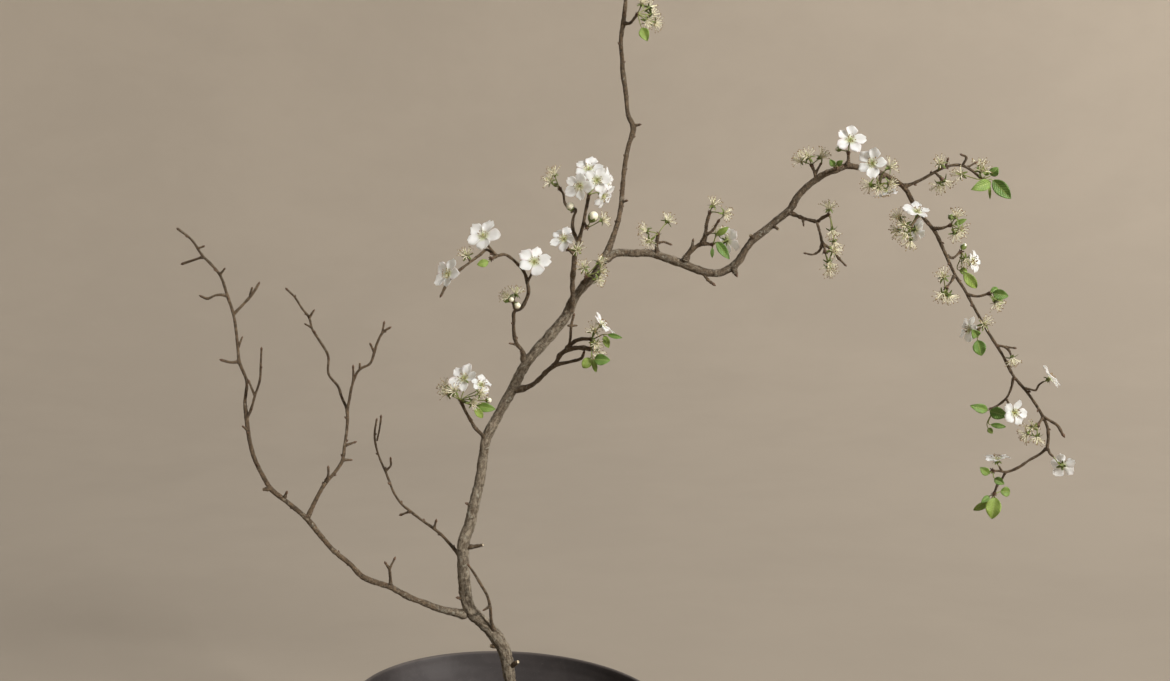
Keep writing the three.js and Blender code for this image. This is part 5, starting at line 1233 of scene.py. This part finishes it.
class Nodes:
    """A node tree, with short ways to add nodes and to join them."""

    def __init__(self, tree):
        self.tree = tree

    def add(self, kind, inputs=None, **settings):
        node = self.tree.nodes.new(kind)
        for name, value in settings.items():
            setattr(node, name, value)
        for name, value in (inputs or {}).items():
            self.feed(node.inputs[name], value)
        return node

    def feed(self, socket, value):
        if isinstance(value, bpy.types.NodeSocket):
            self.tree.links.new(value, socket)
        else:
            socket.default_value = value

    def math(self, operation, first, second=0.0, third=0.0):
        return self.add("ShaderNodeMath", {0: first, 1: second, 2: third}, operation=operation).outputs[0]

    def plus(self, first, second):
        return self.math("ADD", first, second)

    def minus(self, first, second):
        return self.math("SUBTRACT", first, second)

    def times(self, first, second):
        return self.math("MULTIPLY", first, second)

    def fade(self, value, low, high, to_low=0.0, to_high=1.0):
        """A smooth step of the value from low to high."""
        return self.add("ShaderNodeMapRange", {
            "Value": value, "From Min": low, "From Max": high, "To Min": to_low, "To Max": to_high,
        }, interpolation_type="SMOOTHSTEP").outputs["Result"]

    def mix(self, share, first, second):
        return self.add("ShaderNodeMix", {0: share, 6: first, 7: second}, data_type="RGBA").outputs[2]

    def stretch(self, vector, factors):
        return self.add("ShaderNodeVectorMath", {0: vector, 1: factors}, operation="MULTIPLY").outputs[0]

    def noise(self, vector, scale, detail, roughness=0.55, distortion=0.0):
        return self.add("ShaderNodeTexNoise", {
            "Vector": vector, "Scale": scale, "Detail": detail, "Roughness": roughness,
            "Distortion": distortion,
        }).outputs["Fac"]

    def split(self, vector):
        return self.add("ShaderNodeSeparateXYZ", {"Vector": vector}).outputs


def new_group(name, inputs, outputs):
    """An empty shader node group with these (name, socket type, default) inputs and (name, type) outputs."""
    tree = bpy.data.node_groups.new(name, "ShaderNodeTree")
    for label, kind, default in inputs:
        tree.interface.new_socket(label, in_out="INPUT", socket_type=kind).default_value = default
    for label, kind in outputs:
        tree.interface.new_socket(label, in_out="OUTPUT", socket_type=kind)
    nodes = Nodes(tree)
    return nodes, nodes.add("NodeGroupInput").outputs, nodes.add("NodeGroupOutput").inputs


FLOAT, COLOUR, VECTOR = "NodeSocketFloat", "NodeSocketColor", "NodeSocketVector"


def mottling_group():
    """Soft uneven patches of a second colour, with a fainter fine mottle inside them."""
    nodes, given, out = new_group(
        "Mottling",
        [("Vector", VECTOR, (0, 0, 0)), ("First", COLOUR, (1, 1, 1, 1)), ("Second", COLOUR, (0, 0, 0, 1)),
         ("Scale", FLOAT, 1.0), ("Amount", FLOAT, 0.5)],
        [("Color", COLOUR), ("Mask", FLOAT)])
    broad = nodes.noise(given["Vector"], given["Scale"], 5.0, 0.6, 0.4)
    fine = nodes.noise(given["Vector"], nodes.times(given["Scale"], 6.0), 3.0, 0.6)
    patches = nodes.fade(nodes.math("MULTIPLY_ADD", fine, 0.35, broad), 0.52, 0.82)
    mask = nodes.times(patches, given["Amount"])
    nodes.feed(out["Color"], nodes.mix(mask, given["First"], given["Second"]))
    nodes.feed(out["Mask"], mask)
    return nodes.tree


def grain_group():
    """Height of a fine uneven surface, coarse and fine together."""
    nodes, given, out = new_group(
        "Surface Grain",
        [("Vector", VECTOR, (0, 0, 0)), ("Coarse", FLOAT, 1.0), ("Fine", FLOAT, 5.0), ("Share", FLOAT, 0.4)],
        [("Height", FLOAT)])
    coarse = nodes.noise(given["Vector"], given["Coarse"], 3.0, 0.6)
    fine = nodes.noise(given["Vector"], given["Fine"], 4.0, 0.65)
    nodes.feed(out["Height"], nodes.plus(coarse, nodes.times(fine, given["Share"])))
    return nodes.tree


def vein_group():
    """Midrib and side veins of a blade, from its place across and along it."""
    nodes, given, out = new_group(
        "Blade Veins",
        [("Place", VECTOR, (0, 0, 0)), ("Pairs", FLOAT, 8.0), ("Slant", FLOAT, 2.2), ("Width", FLOAT, 0.2)],
        [("Midrib", FLOAT), ("Veins", FLOAT)])
    across, along, _ = nodes.split(given["Place"])
    side = nodes.math("ABSOLUTE", across)
    waver = nodes.times(nodes.noise(given["Place"], 3.0, 2.0), 0.6)
    steps = nodes.minus(nodes.times(along, given["Pairs"]), nodes.times(side, given["Slant"]))
    phase = nodes.math("FRACT", nodes.plus(steps, waver))
    offset = nodes.math("ABSOLUTE", nodes.minus(phase, 0.5))
    nodes.feed(out["Veins"], nodes.minus(1.0, nodes.fade(offset, 0.0, given["Width"])))
    nodes.feed(out["Midrib"], nodes.minus(1.0, nodes.fade(side, 0.03, 0.12)))
    return nodes.tree


class Finish(Nodes):
    """A material that is being made: its shader's sockets, and short ways to use the shared groups."""

    def __init__(self, name, groups, **sockets):
        self.material = bpy.data.materials.new(name)
        self.material.use_nodes = True
        super().__init__(self.material.node_tree)
        self.groups = groups
        self.shader = self.tree.nodes["Principled BSDF"].inputs
        for label, value in sockets.items():
            self.shader[label.replace("_", " ")].default_value = value

    def place(self):
        """Where a point is on the piece that it belongs to."""
        return self.add("ShaderNodeAttribute", attribute_name="place").outputs["Vector"]

    def in_object(self):
        return self.add("ShaderNodeTexCoord").outputs["Object"]

    def group(self, name, inputs):
        return self.add("ShaderNodeGroup", inputs, node_tree=self.groups[name]).outputs

    def mottled(self, vector, first, second, scale, amount):
        return self.group("mottling", {
            "Vector": vector, "First": opaque(first), "Second": opaque(second), "Scale": scale,
            "Amount": amount,
        })

    def grain(self, vector, coarse, fine, share):
        inputs = {"Vector": vector, "Coarse": coarse, "Fine": fine, "Share": share}
        return self.group("grain", inputs)["Height"]

    def veins(self, place, pairs, slant, width):
        return self.group("veins", {"Place": place, "Pairs": pairs, "Slant": slant, "Width": width})

    def tinted(self, share, first, colour):
        """The first colour, with this share of a plain one over it."""
        return self.mix(share, first, opaque(colour))

    def paint(self, colour):
        self.feed(self.shader["Base Color"], colour)

    def roughen(self, share, low, high):
        self.feed(self.shader["Roughness"], self.fade(share, 0.0, 1.0, low, high))

    def bump(self, height, distance, strength=1.0):
        normal = self.add("ShaderNodeBump", {"Height": height, "Distance": distance, "Strength": strength})
        self.feed(self.shader["Normal"], normal.outputs["Normal"])


def bark_finish(groups, wood):
    """Grey bark with ring cracks, pores and lichen on the older wood, and smooth brown bark on the twigs,
    whose strong pale and dark mottle is partly their own tone and partly painted highlight and shade.
    """
    bark = Finish("bark", groups, Roughness=0.85)
    place = bark.place()
    x, y, _ = bark.split(place)
    girth = bark.math("SQRT", bark.plus(bark.times(x, x), bark.times(y, y)))
    old = bark.mottled(bark.stretch(place, (1.0, 1.0, 0.4)), wood.bark_light, wood.bark_dark, 0.5, 0.9)
    # The twigs' mottle is partly their own uneven tone and partly painted highlight and shade of their
    # knobbly surface.
    young = bark.mottled(place, wood.twig, darker(wood.twig, 0.45), 0.34, 1.0)
    colour = bark.mix(bark.fade(girth, 1.8, 5.2), young["Color"], old["Color"])
    rings = bark.stretch(place, (0.35, 0.35, 2.0))
    cracks = bark.fade(bark.noise(rings, 0.8, 5.0, 0.7, 0.5), 0.5, 0.64)
    colour = bark.tinted(bark.times(cracks, 0.5), colour, paint(70, 55, 43))
    dashes = bark.fade(bark.noise(bark.stretch(place, (0.5, 0.5, 1.9)), 1.1, 2.0, 0.5), 0.6, 0.7)
    pores = bark.times(dashes, bark.fade(girth, 1.0, 3.0, 0.35, 0.7))
    colour = bark.tinted(pores, colour, paint(184, 170, 146))
    crust = bark.fade(bark.noise(place, 0.2, 6.0, 0.72, 0.4), 0.56, 0.64)
    lichen = bark.times(crust, bark.fade(girth, 1.8, 3.2, 0.2, 0.75))
    bark.paint(bark.tinted(lichen, colour, paint(196, 191, 172)))
    sunk = bark.minus(bark.grain(rings, 0.6, 3.0, 0.6), bark.times(cracks, 0.5))
    bark.bump(bark.plus(sunk, bark.times(bark.plus(pores, lichen), 0.4)), 0.0016)
    bark.roughen(old["Mask"], 0.78, 0.95)
    return bark.material


def mottled_finish(groups, name, first, second, scale, amount, **sockets):
    """A finish of two plain colours, mottled together."""
    finish = Finish(name, groups, **sockets)
    finish.paint(finish.mottled(finish.in_object(), first, second, scale, amount)["Color"])
    return finish


def small_finish(groups, name, first, second, roughness, scale, bump=0.0001, **sockets):
    """A finely mottled and grained finish for small parts."""
    finish = mottled_finish(groups, name, first, second, scale, 0.7, Roughness=roughness, **sockets)
    finish.bump(finish.grain(finish.in_object(), 2 * scale, 9 * scale, 0.4), bump)
    return finish.material


def petal_finish(groups, blossom):
    """Thin white petals, greenish at the claw, with faint veins and on some a blush at the edge."""
    petal = Finish("petal", groups, Roughness=0.55, Subsurface_Weight=0.7, Subsurface_Scale=0.003,
                   Subsurface_Radius=(1.0, 0.95, 0.85), Sheen_Weight=0.1)
    place = petal.place()
    across, along, tone = petal.split(place)
    veins = petal.veins(place, 3.0, 4.5, 0.5)["Veins"]
    edge = petal.fade(petal.math("MAXIMUM", petal.math("ABSOLUTE", across), along), 0.55, 1.0)
    blushed = petal.times(edge, petal.fade(tone, 0.45, 0.95))
    colour = petal.tinted(blushed, opaque(blossom.petal), blossom.blush)
    colour = petal.tinted(petal.times(veins, 0.12), colour, paint(222, 220, 206))
    petal.paint(petal.tinted(petal.fade(along, 0.3, 0.02), colour, blossom.heart))
    petal.bump(veins, 0.0001, 0.35)
    return petal.material


def leaf_finish(groups, name, first, second, rib, roughness):
    """A leaf's side: veined, mottled, paler at the ribs, and yellower on the younger leaves."""
    leaf = Finish(name, groups, Roughness=roughness, Subsurface_Weight=0.15, Subsurface_Scale=0.001,
                  Subsurface_Radius=(0.6, 1.0, 0.3))
    place = leaf.place()
    tone = leaf.split(place)[2]
    veins = leaf.veins(place, LEAF_VEIN_PAIRS, LEAF_VEIN_SLANT, 0.3)
    cells = leaf.noise(leaf.stretch(place, (4.0, 9.0, 1.0)), 2.0, 4.0, 0.6)
    colour = leaf.tinted(leaf.fade(tone, 0.1, 0.95), opaque(first), second)
    colour = leaf.tinted(leaf.fade(cells, 0.35, 0.7, 0.0, 0.35), colour, darker(first, 0.5))
    colour = leaf.tinted(leaf.times(veins["Veins"], 0.3), colour, rib)
    leaf.paint(leaf.tinted(leaf.times(veins["Midrib"], 0.7), colour, rib))
    leaf.bump(leaf.minus(cells, leaf.times(veins["Veins"], 0.8)), 0.00025)
    return leaf.material


def stoneware_finish(groups, bowl):
    """Dark matte stoneware: throwing rings, a fine gritty surface, pale specks and a paler top to the lip."""
    clay = Finish("stoneware", groups, Roughness=0.6, Specular_IOR_Level=0.3)
    place = clay.in_object()
    mottled = clay.mottled(place, bowl.clay, darker(bowl.clay, 0.66), 26.0, 0.55)
    specks = clay.fade(clay.noise(place, 900.0, 2.0, 0.5), 0.66, 0.74, 0.0, 0.2)
    colour = clay.tinted(specks, mottled["Color"], paint(128, 120, 112))
    height = clay.split(place)[2]
    # The top two millimetres of the lip are painted paler.
    lip = clay.fade(height, (RIM_HEIGHT - 2.2) * MM, (RIM_HEIGHT - 0.2) * MM, 0.0, 0.35)
    clay.paint(clay.tinted(lip, colour, paint(112, 102, 94)))
    drawn = clay.split(clay.place())[1]
    waver = clay.times(clay.noise(place, 14.0, 2.0), 4.0)
    rings = clay.math("SINE", clay.plus(clay.times(drawn, math.tau / bowl.ring_pitch), waver))
    grit = clay.grain(place, 260.0, 1500.0, 0.5)
    clay.bump(clay.plus(clay.times(rings, 0.3), clay.times(grit, 0.35)), 0.0002)
    clay.roughen(mottled["Mask"], 0.64, 0.78)
    return clay.material


def water_finish(groups):
    """Clear water. It is laid over what lies below, so that the light reaches the bottom of the bowl."""
    water = mottled_finish(groups, "water", paint(44, 50, 46), paint(32, 37, 35), 18.0, 0.6,
                           Roughness=0.02, IOR=1.75, Alpha=0.32)
    water.bump(water.noise(water.in_object(), 20.0, 1.0, 0.4), 0.0003)
    return water.material


def cut_wood_finish(groups):
    """Bare pale wood, where a limb is cut."""
    pale, dark = paint(204, 192, 166), paint(158, 138, 108)
    return mottled_finish(groups, "cut_wood", pale, dark, 400.0, 0.8, Roughness=0.8).material


def backdrop_finish(groups, studio):
    """The matt, faintly mottled floor and wall of the studio."""
    shade = darker(studio.backdrop, 0.93)
    return mottled_finish(groups, "backdrop", studio.backdrop, shade, 1.3, 0.7, Roughness=0.95).material


def make_finishes(settings):
    """Every finish of the arrangement and its studio, by name."""
    groups = {"mottling": mottling_group(), "grain": grain_group(), "veins": vein_group()}
    foliage = settings.foliage
    small = {
        "bud_scale": (paint(104, 78, 56), paint(60, 42, 30), 0.7, 500.0),
        "stalk": (foliage.stalk, paint(112, 104, 62), 0.55, 260.0),
        "sepal": (paint(110, 126, 54), paint(76, 78, 36), 0.6, 420.0),
        "filament": (paint(238, 232, 208), paint(214, 206, 166), 0.5, 300.0),
        "anther": (paint(150, 118, 62), paint(96, 68, 40), 0.8, 900.0),
        "heart": (paint(190, 198, 122), paint(150, 166, 88), 0.55, 700.0),
        "leaf_rib": (paint(158, 182, 104), paint(136, 160, 84), 0.5, 500.0),
    }
    made = {name: small_finish(groups, name, *look) for name, look in small.items()}
    made.update({
        "bark": bark_finish(groups, settings.wood),
        "cut_wood": cut_wood_finish(groups),
        "bud": small_finish(
            groups, "bud", paint(240, 236, 218), paint(222, 216, 186), 0.5, 220.0,
            Subsurface_Weight=0.3, Subsurface_Scale=0.002, Subsurface_Radius=(1.0, 0.95, 0.8)),
        "petal": petal_finish(groups, settings.blossom),
        "leaf": leaf_finish(groups, "leaf", foliage.leaf, foliage.leaf_young, paint(150, 168, 88), 0.5),
        "leaf_under": leaf_finish(
            groups, "leaf_under", paint(116, 140, 78), paint(146, 164, 96), paint(172, 190, 126), 0.65),
        "stoneware": stoneware_finish(groups, settings.bowl),
        "holder_plate": small_finish(
            groups, "holder_plate", paint(92, 92, 90), paint(62, 62, 62), 0.5, 60.0,
            bump=0.0003, Metallic=0.9),
        "pin": small_finish(
            groups, "pin", paint(176, 150, 92), paint(128, 104, 62), 0.35, 300.0, Metallic=1.0),
        "water": water_finish(groups),
        "backdrop": backdrop_finish(groups, settings.studio),
    })
    return made


FINISHES = {}


def all_finishes(context):
    """The finishes, made at the first call."""
    if not FINISHES:
        FINISHES.update(make_finishes(context.scene.arrangement))
    return FINISHES


# Operators.


class MakeWood(bpy.types.Operator):
    """Builds the wood of the branch: limbs, spurs, stubs and resting buds"""

    bl_idname = "arrangement.make_wood"
    bl_label = "Branch"

    def execute(self, context):
        wood = context.scene.arrangement.wood
        shape = Shape()
        for k, (name, parent_radius) in enumerate(parent_radii().items()):
            add_limb(shape, name, parent_radius, wood.ring_pitch, 37.0 * k)
        add_resting_buds(shape, wood.bud_pitch)
        make_piece("branch_wood", shape, all_finishes(context), "branch")
        return {"FINISHED"}


class MakeTwigFlowers(bpy.types.Operator):
    """Builds the stalks, cups, spent flowers and buds that sit on their own twigs of the branch"""

    bl_idname = "arrangement.make_twig_flowers"
    bl_label = "Twig flowers"

    def execute(self, context):
        shape = Shape()
        draw = random.Random(TWIG_FLOWER_SEED)
        for spray in TWIG_FLOWERS.values():
            add_spray(shape, spray, context.scene.arrangement.blossom.stamens, draw, on_knob=False)
        make_piece("branch_flowers", shape, all_finishes(context), "branch")
        return {"FINISHED"}


class MakeSprays(bpy.types.Operator):
    """Builds the sprays: scales, stalks, cups, spent flowers, buds and leaves"""

    bl_idname = "arrangement.make_sprays"
    bl_label = "Sprays"

    def execute(self, context):
        stamens = context.scene.arrangement.blossom.stamens
        for k, (name, spray) in enumerate(SPRAYS.items()):
            shape = Shape()
            add_spray(shape, spray, stamens, random.Random(SPRAY_SEED + k))
            make_piece(f"{name}_fine", shape, all_finishes(context), name)
        return {"FINISHED"}


class MakeBlooms(bpy.types.Operator):
    """Builds the open blooms"""

    bl_idname = "arrangement.make_blooms"
    bl_label = "Blooms"

    def execute(self, context):
        stamens = context.scene.arrangement.blossom.stamens
        for k, (name, place, way, width) in enumerate(open_blooms()):
            shape = Shape()
            add_bloom(shape, place, way, width, stamens, random.Random(BLOOM_SEED + k))
            make_piece(f"{name}_fine", shape, all_finishes(context), name)
        return {"FINISHED"}


class MakeBowl(bpy.types.Operator):
    """Builds the oval stoneware bowl"""

    bl_idname = "arrangement.make_bowl"
    bl_label = "Bowl"

    def execute(self, context):
        make_piece("bowl_fine", bowl_shape(), all_finishes(context), "bowl")
        return {"FINISHED"}


class MakePinHolder(bpy.types.Operator):
    """Builds the pin holder that the branch stands on"""

    bl_idname = "arrangement.make_pin_holder"
    bl_label = "Pin holder"

    def execute(self, context):
        make_piece("pin_holder_fine", holder_shape(), all_finishes(context), "pin_holder")
        return {"FINISHED"}


class MakeWater(bpy.types.Operator):
    """Fills the bowl with water"""

    bl_idname = "arrangement.make_water"
    bl_label = "Water"

    def execute(self, context):
        make_piece("water_fine", water_shape(), all_finishes(context), "water")
        return {"FINISHED"}


def add_floor(finishes):
    """A flat floor that curves up into a round wall."""
    shape = Shape()
    rise = np.linspace(0, math.pi / 2, 48)
    radii = STAGE_FLAT + (STAGE_RADIUS - STAGE_FLAT) * np.sin(rise)
    heights = STAGE_HEIGHT * (1 - np.cos(rise)) - STAGE_DROP
    lathe(shape, [*zip(radii, heights)][::-1] + [(5, -STAGE_DROP)], STAGE_SIDES, "backdrop", close=False)
    make_object("studio_floor", shape, finishes)


def add_light(name, power, place, target, width, colour):
    light = bpy.data.lights.new(name, "AREA")
    light.shape = "DISK"
    light.size = width
    light.energy = power
    light.color = colour
    lamp = bpy.data.objects.new(name, light)
    lamp.location = place
    lamp.rotation_euler = (Vector(target) - Vector(place)).to_track_quat("-Z", "Y").to_euler()
    lamp.visible_camera = False
    bpy.context.scene.collection.objects.link(lamp)


def add_air(scene, strength):
    """Even pale light from all round."""
    scene.world = bpy.data.worlds.new("studio_air")
    scene.world.use_nodes = True
    sky = scene.world.node_tree.nodes["Background"].inputs
    sky["Color"].default_value = (1.0, 0.99, 0.98, 1.0)
    sky["Strength"].default_value = strength


def add_camera(scene):
    lens = bpy.data.cameras.new("camera")
    lens.lens = EYE_LENS
    camera = bpy.data.objects.new("camera", lens)
    camera.location = Vector(EYE) * MM
    camera.rotation_euler = (math.pi / 2 - EYE_TILT, 0, 0)
    scene.collection.objects.link(camera)
    scene.camera = camera


class MakeStudio(bpy.types.Operator):
    """Builds the pale floor that runs up into a plain wall, the soft lights and the camera"""

    bl_idname = "arrangement.make_studio"
    bl_label = "Studio"

    def execute(self, context):
        studio = context.scene.arrangement.studio
        add_floor(all_finishes(context))
        for name, light in LIGHTS.items():
            add_light(f"{name}_light", getattr(studio, name), *light)
        add_air(context.scene, studio.air)
        add_camera(context.scene)
        context.scene.view_settings.view_transform = "Standard"
        return {"FINISHED"}


MAKERS = (MakeWood, MakeTwigFlowers, MakeSprays, MakeBlooms, MakeBowl, MakePinHolder, MakeWater, MakeStudio)


class ArrangementPanel(bpy.types.Panel):
    """Lists what can be built, with its settings"""

    bl_idname = "VIEW3D_PT_arrangement"
    bl_label = "Flowering Branch in a Bowl"
    bl_space_type = "VIEW_3D"
    bl_region_type = "UI"
    bl_category = "Arrangement"

    def draw(self, context):
        settings = context.scene.arrangement
        for maker in MAKERS:
            self.layout.operator(maker.bl_idname)
        for part in ("wood", "blossom", "foliage", "bowl", "studio"):
            box = self.layout.box()
            box.label(text=part.capitalize())
            for key in getattr(settings, part).__annotations__:
                box.prop(getattr(settings, part), key)


CLASSES = (WoodSettings, BlossomSettings, FoliageSettings, BowlSettings, StudioSettings, ArrangementSettings,
           *MAKERS, ArrangementPanel)


def register():
    for made in CLASSES:
        bpy.utils.register_class(made)
    bpy.types.Scene.arrangement = bpy.props.PointerProperty(type=ArrangementSettings)


def unregister():
    del bpy.types.Scene.arrangement
    for made in reversed(CLASSES):
        bpy.utils.unregister_class(made)


def main():
    register()
    for maker in MAKERS:
        group, name = maker.bl_idname.split(".")
        getattr(getattr(bpy.ops, group), name)()


if __name__ == "__main__":
    main()
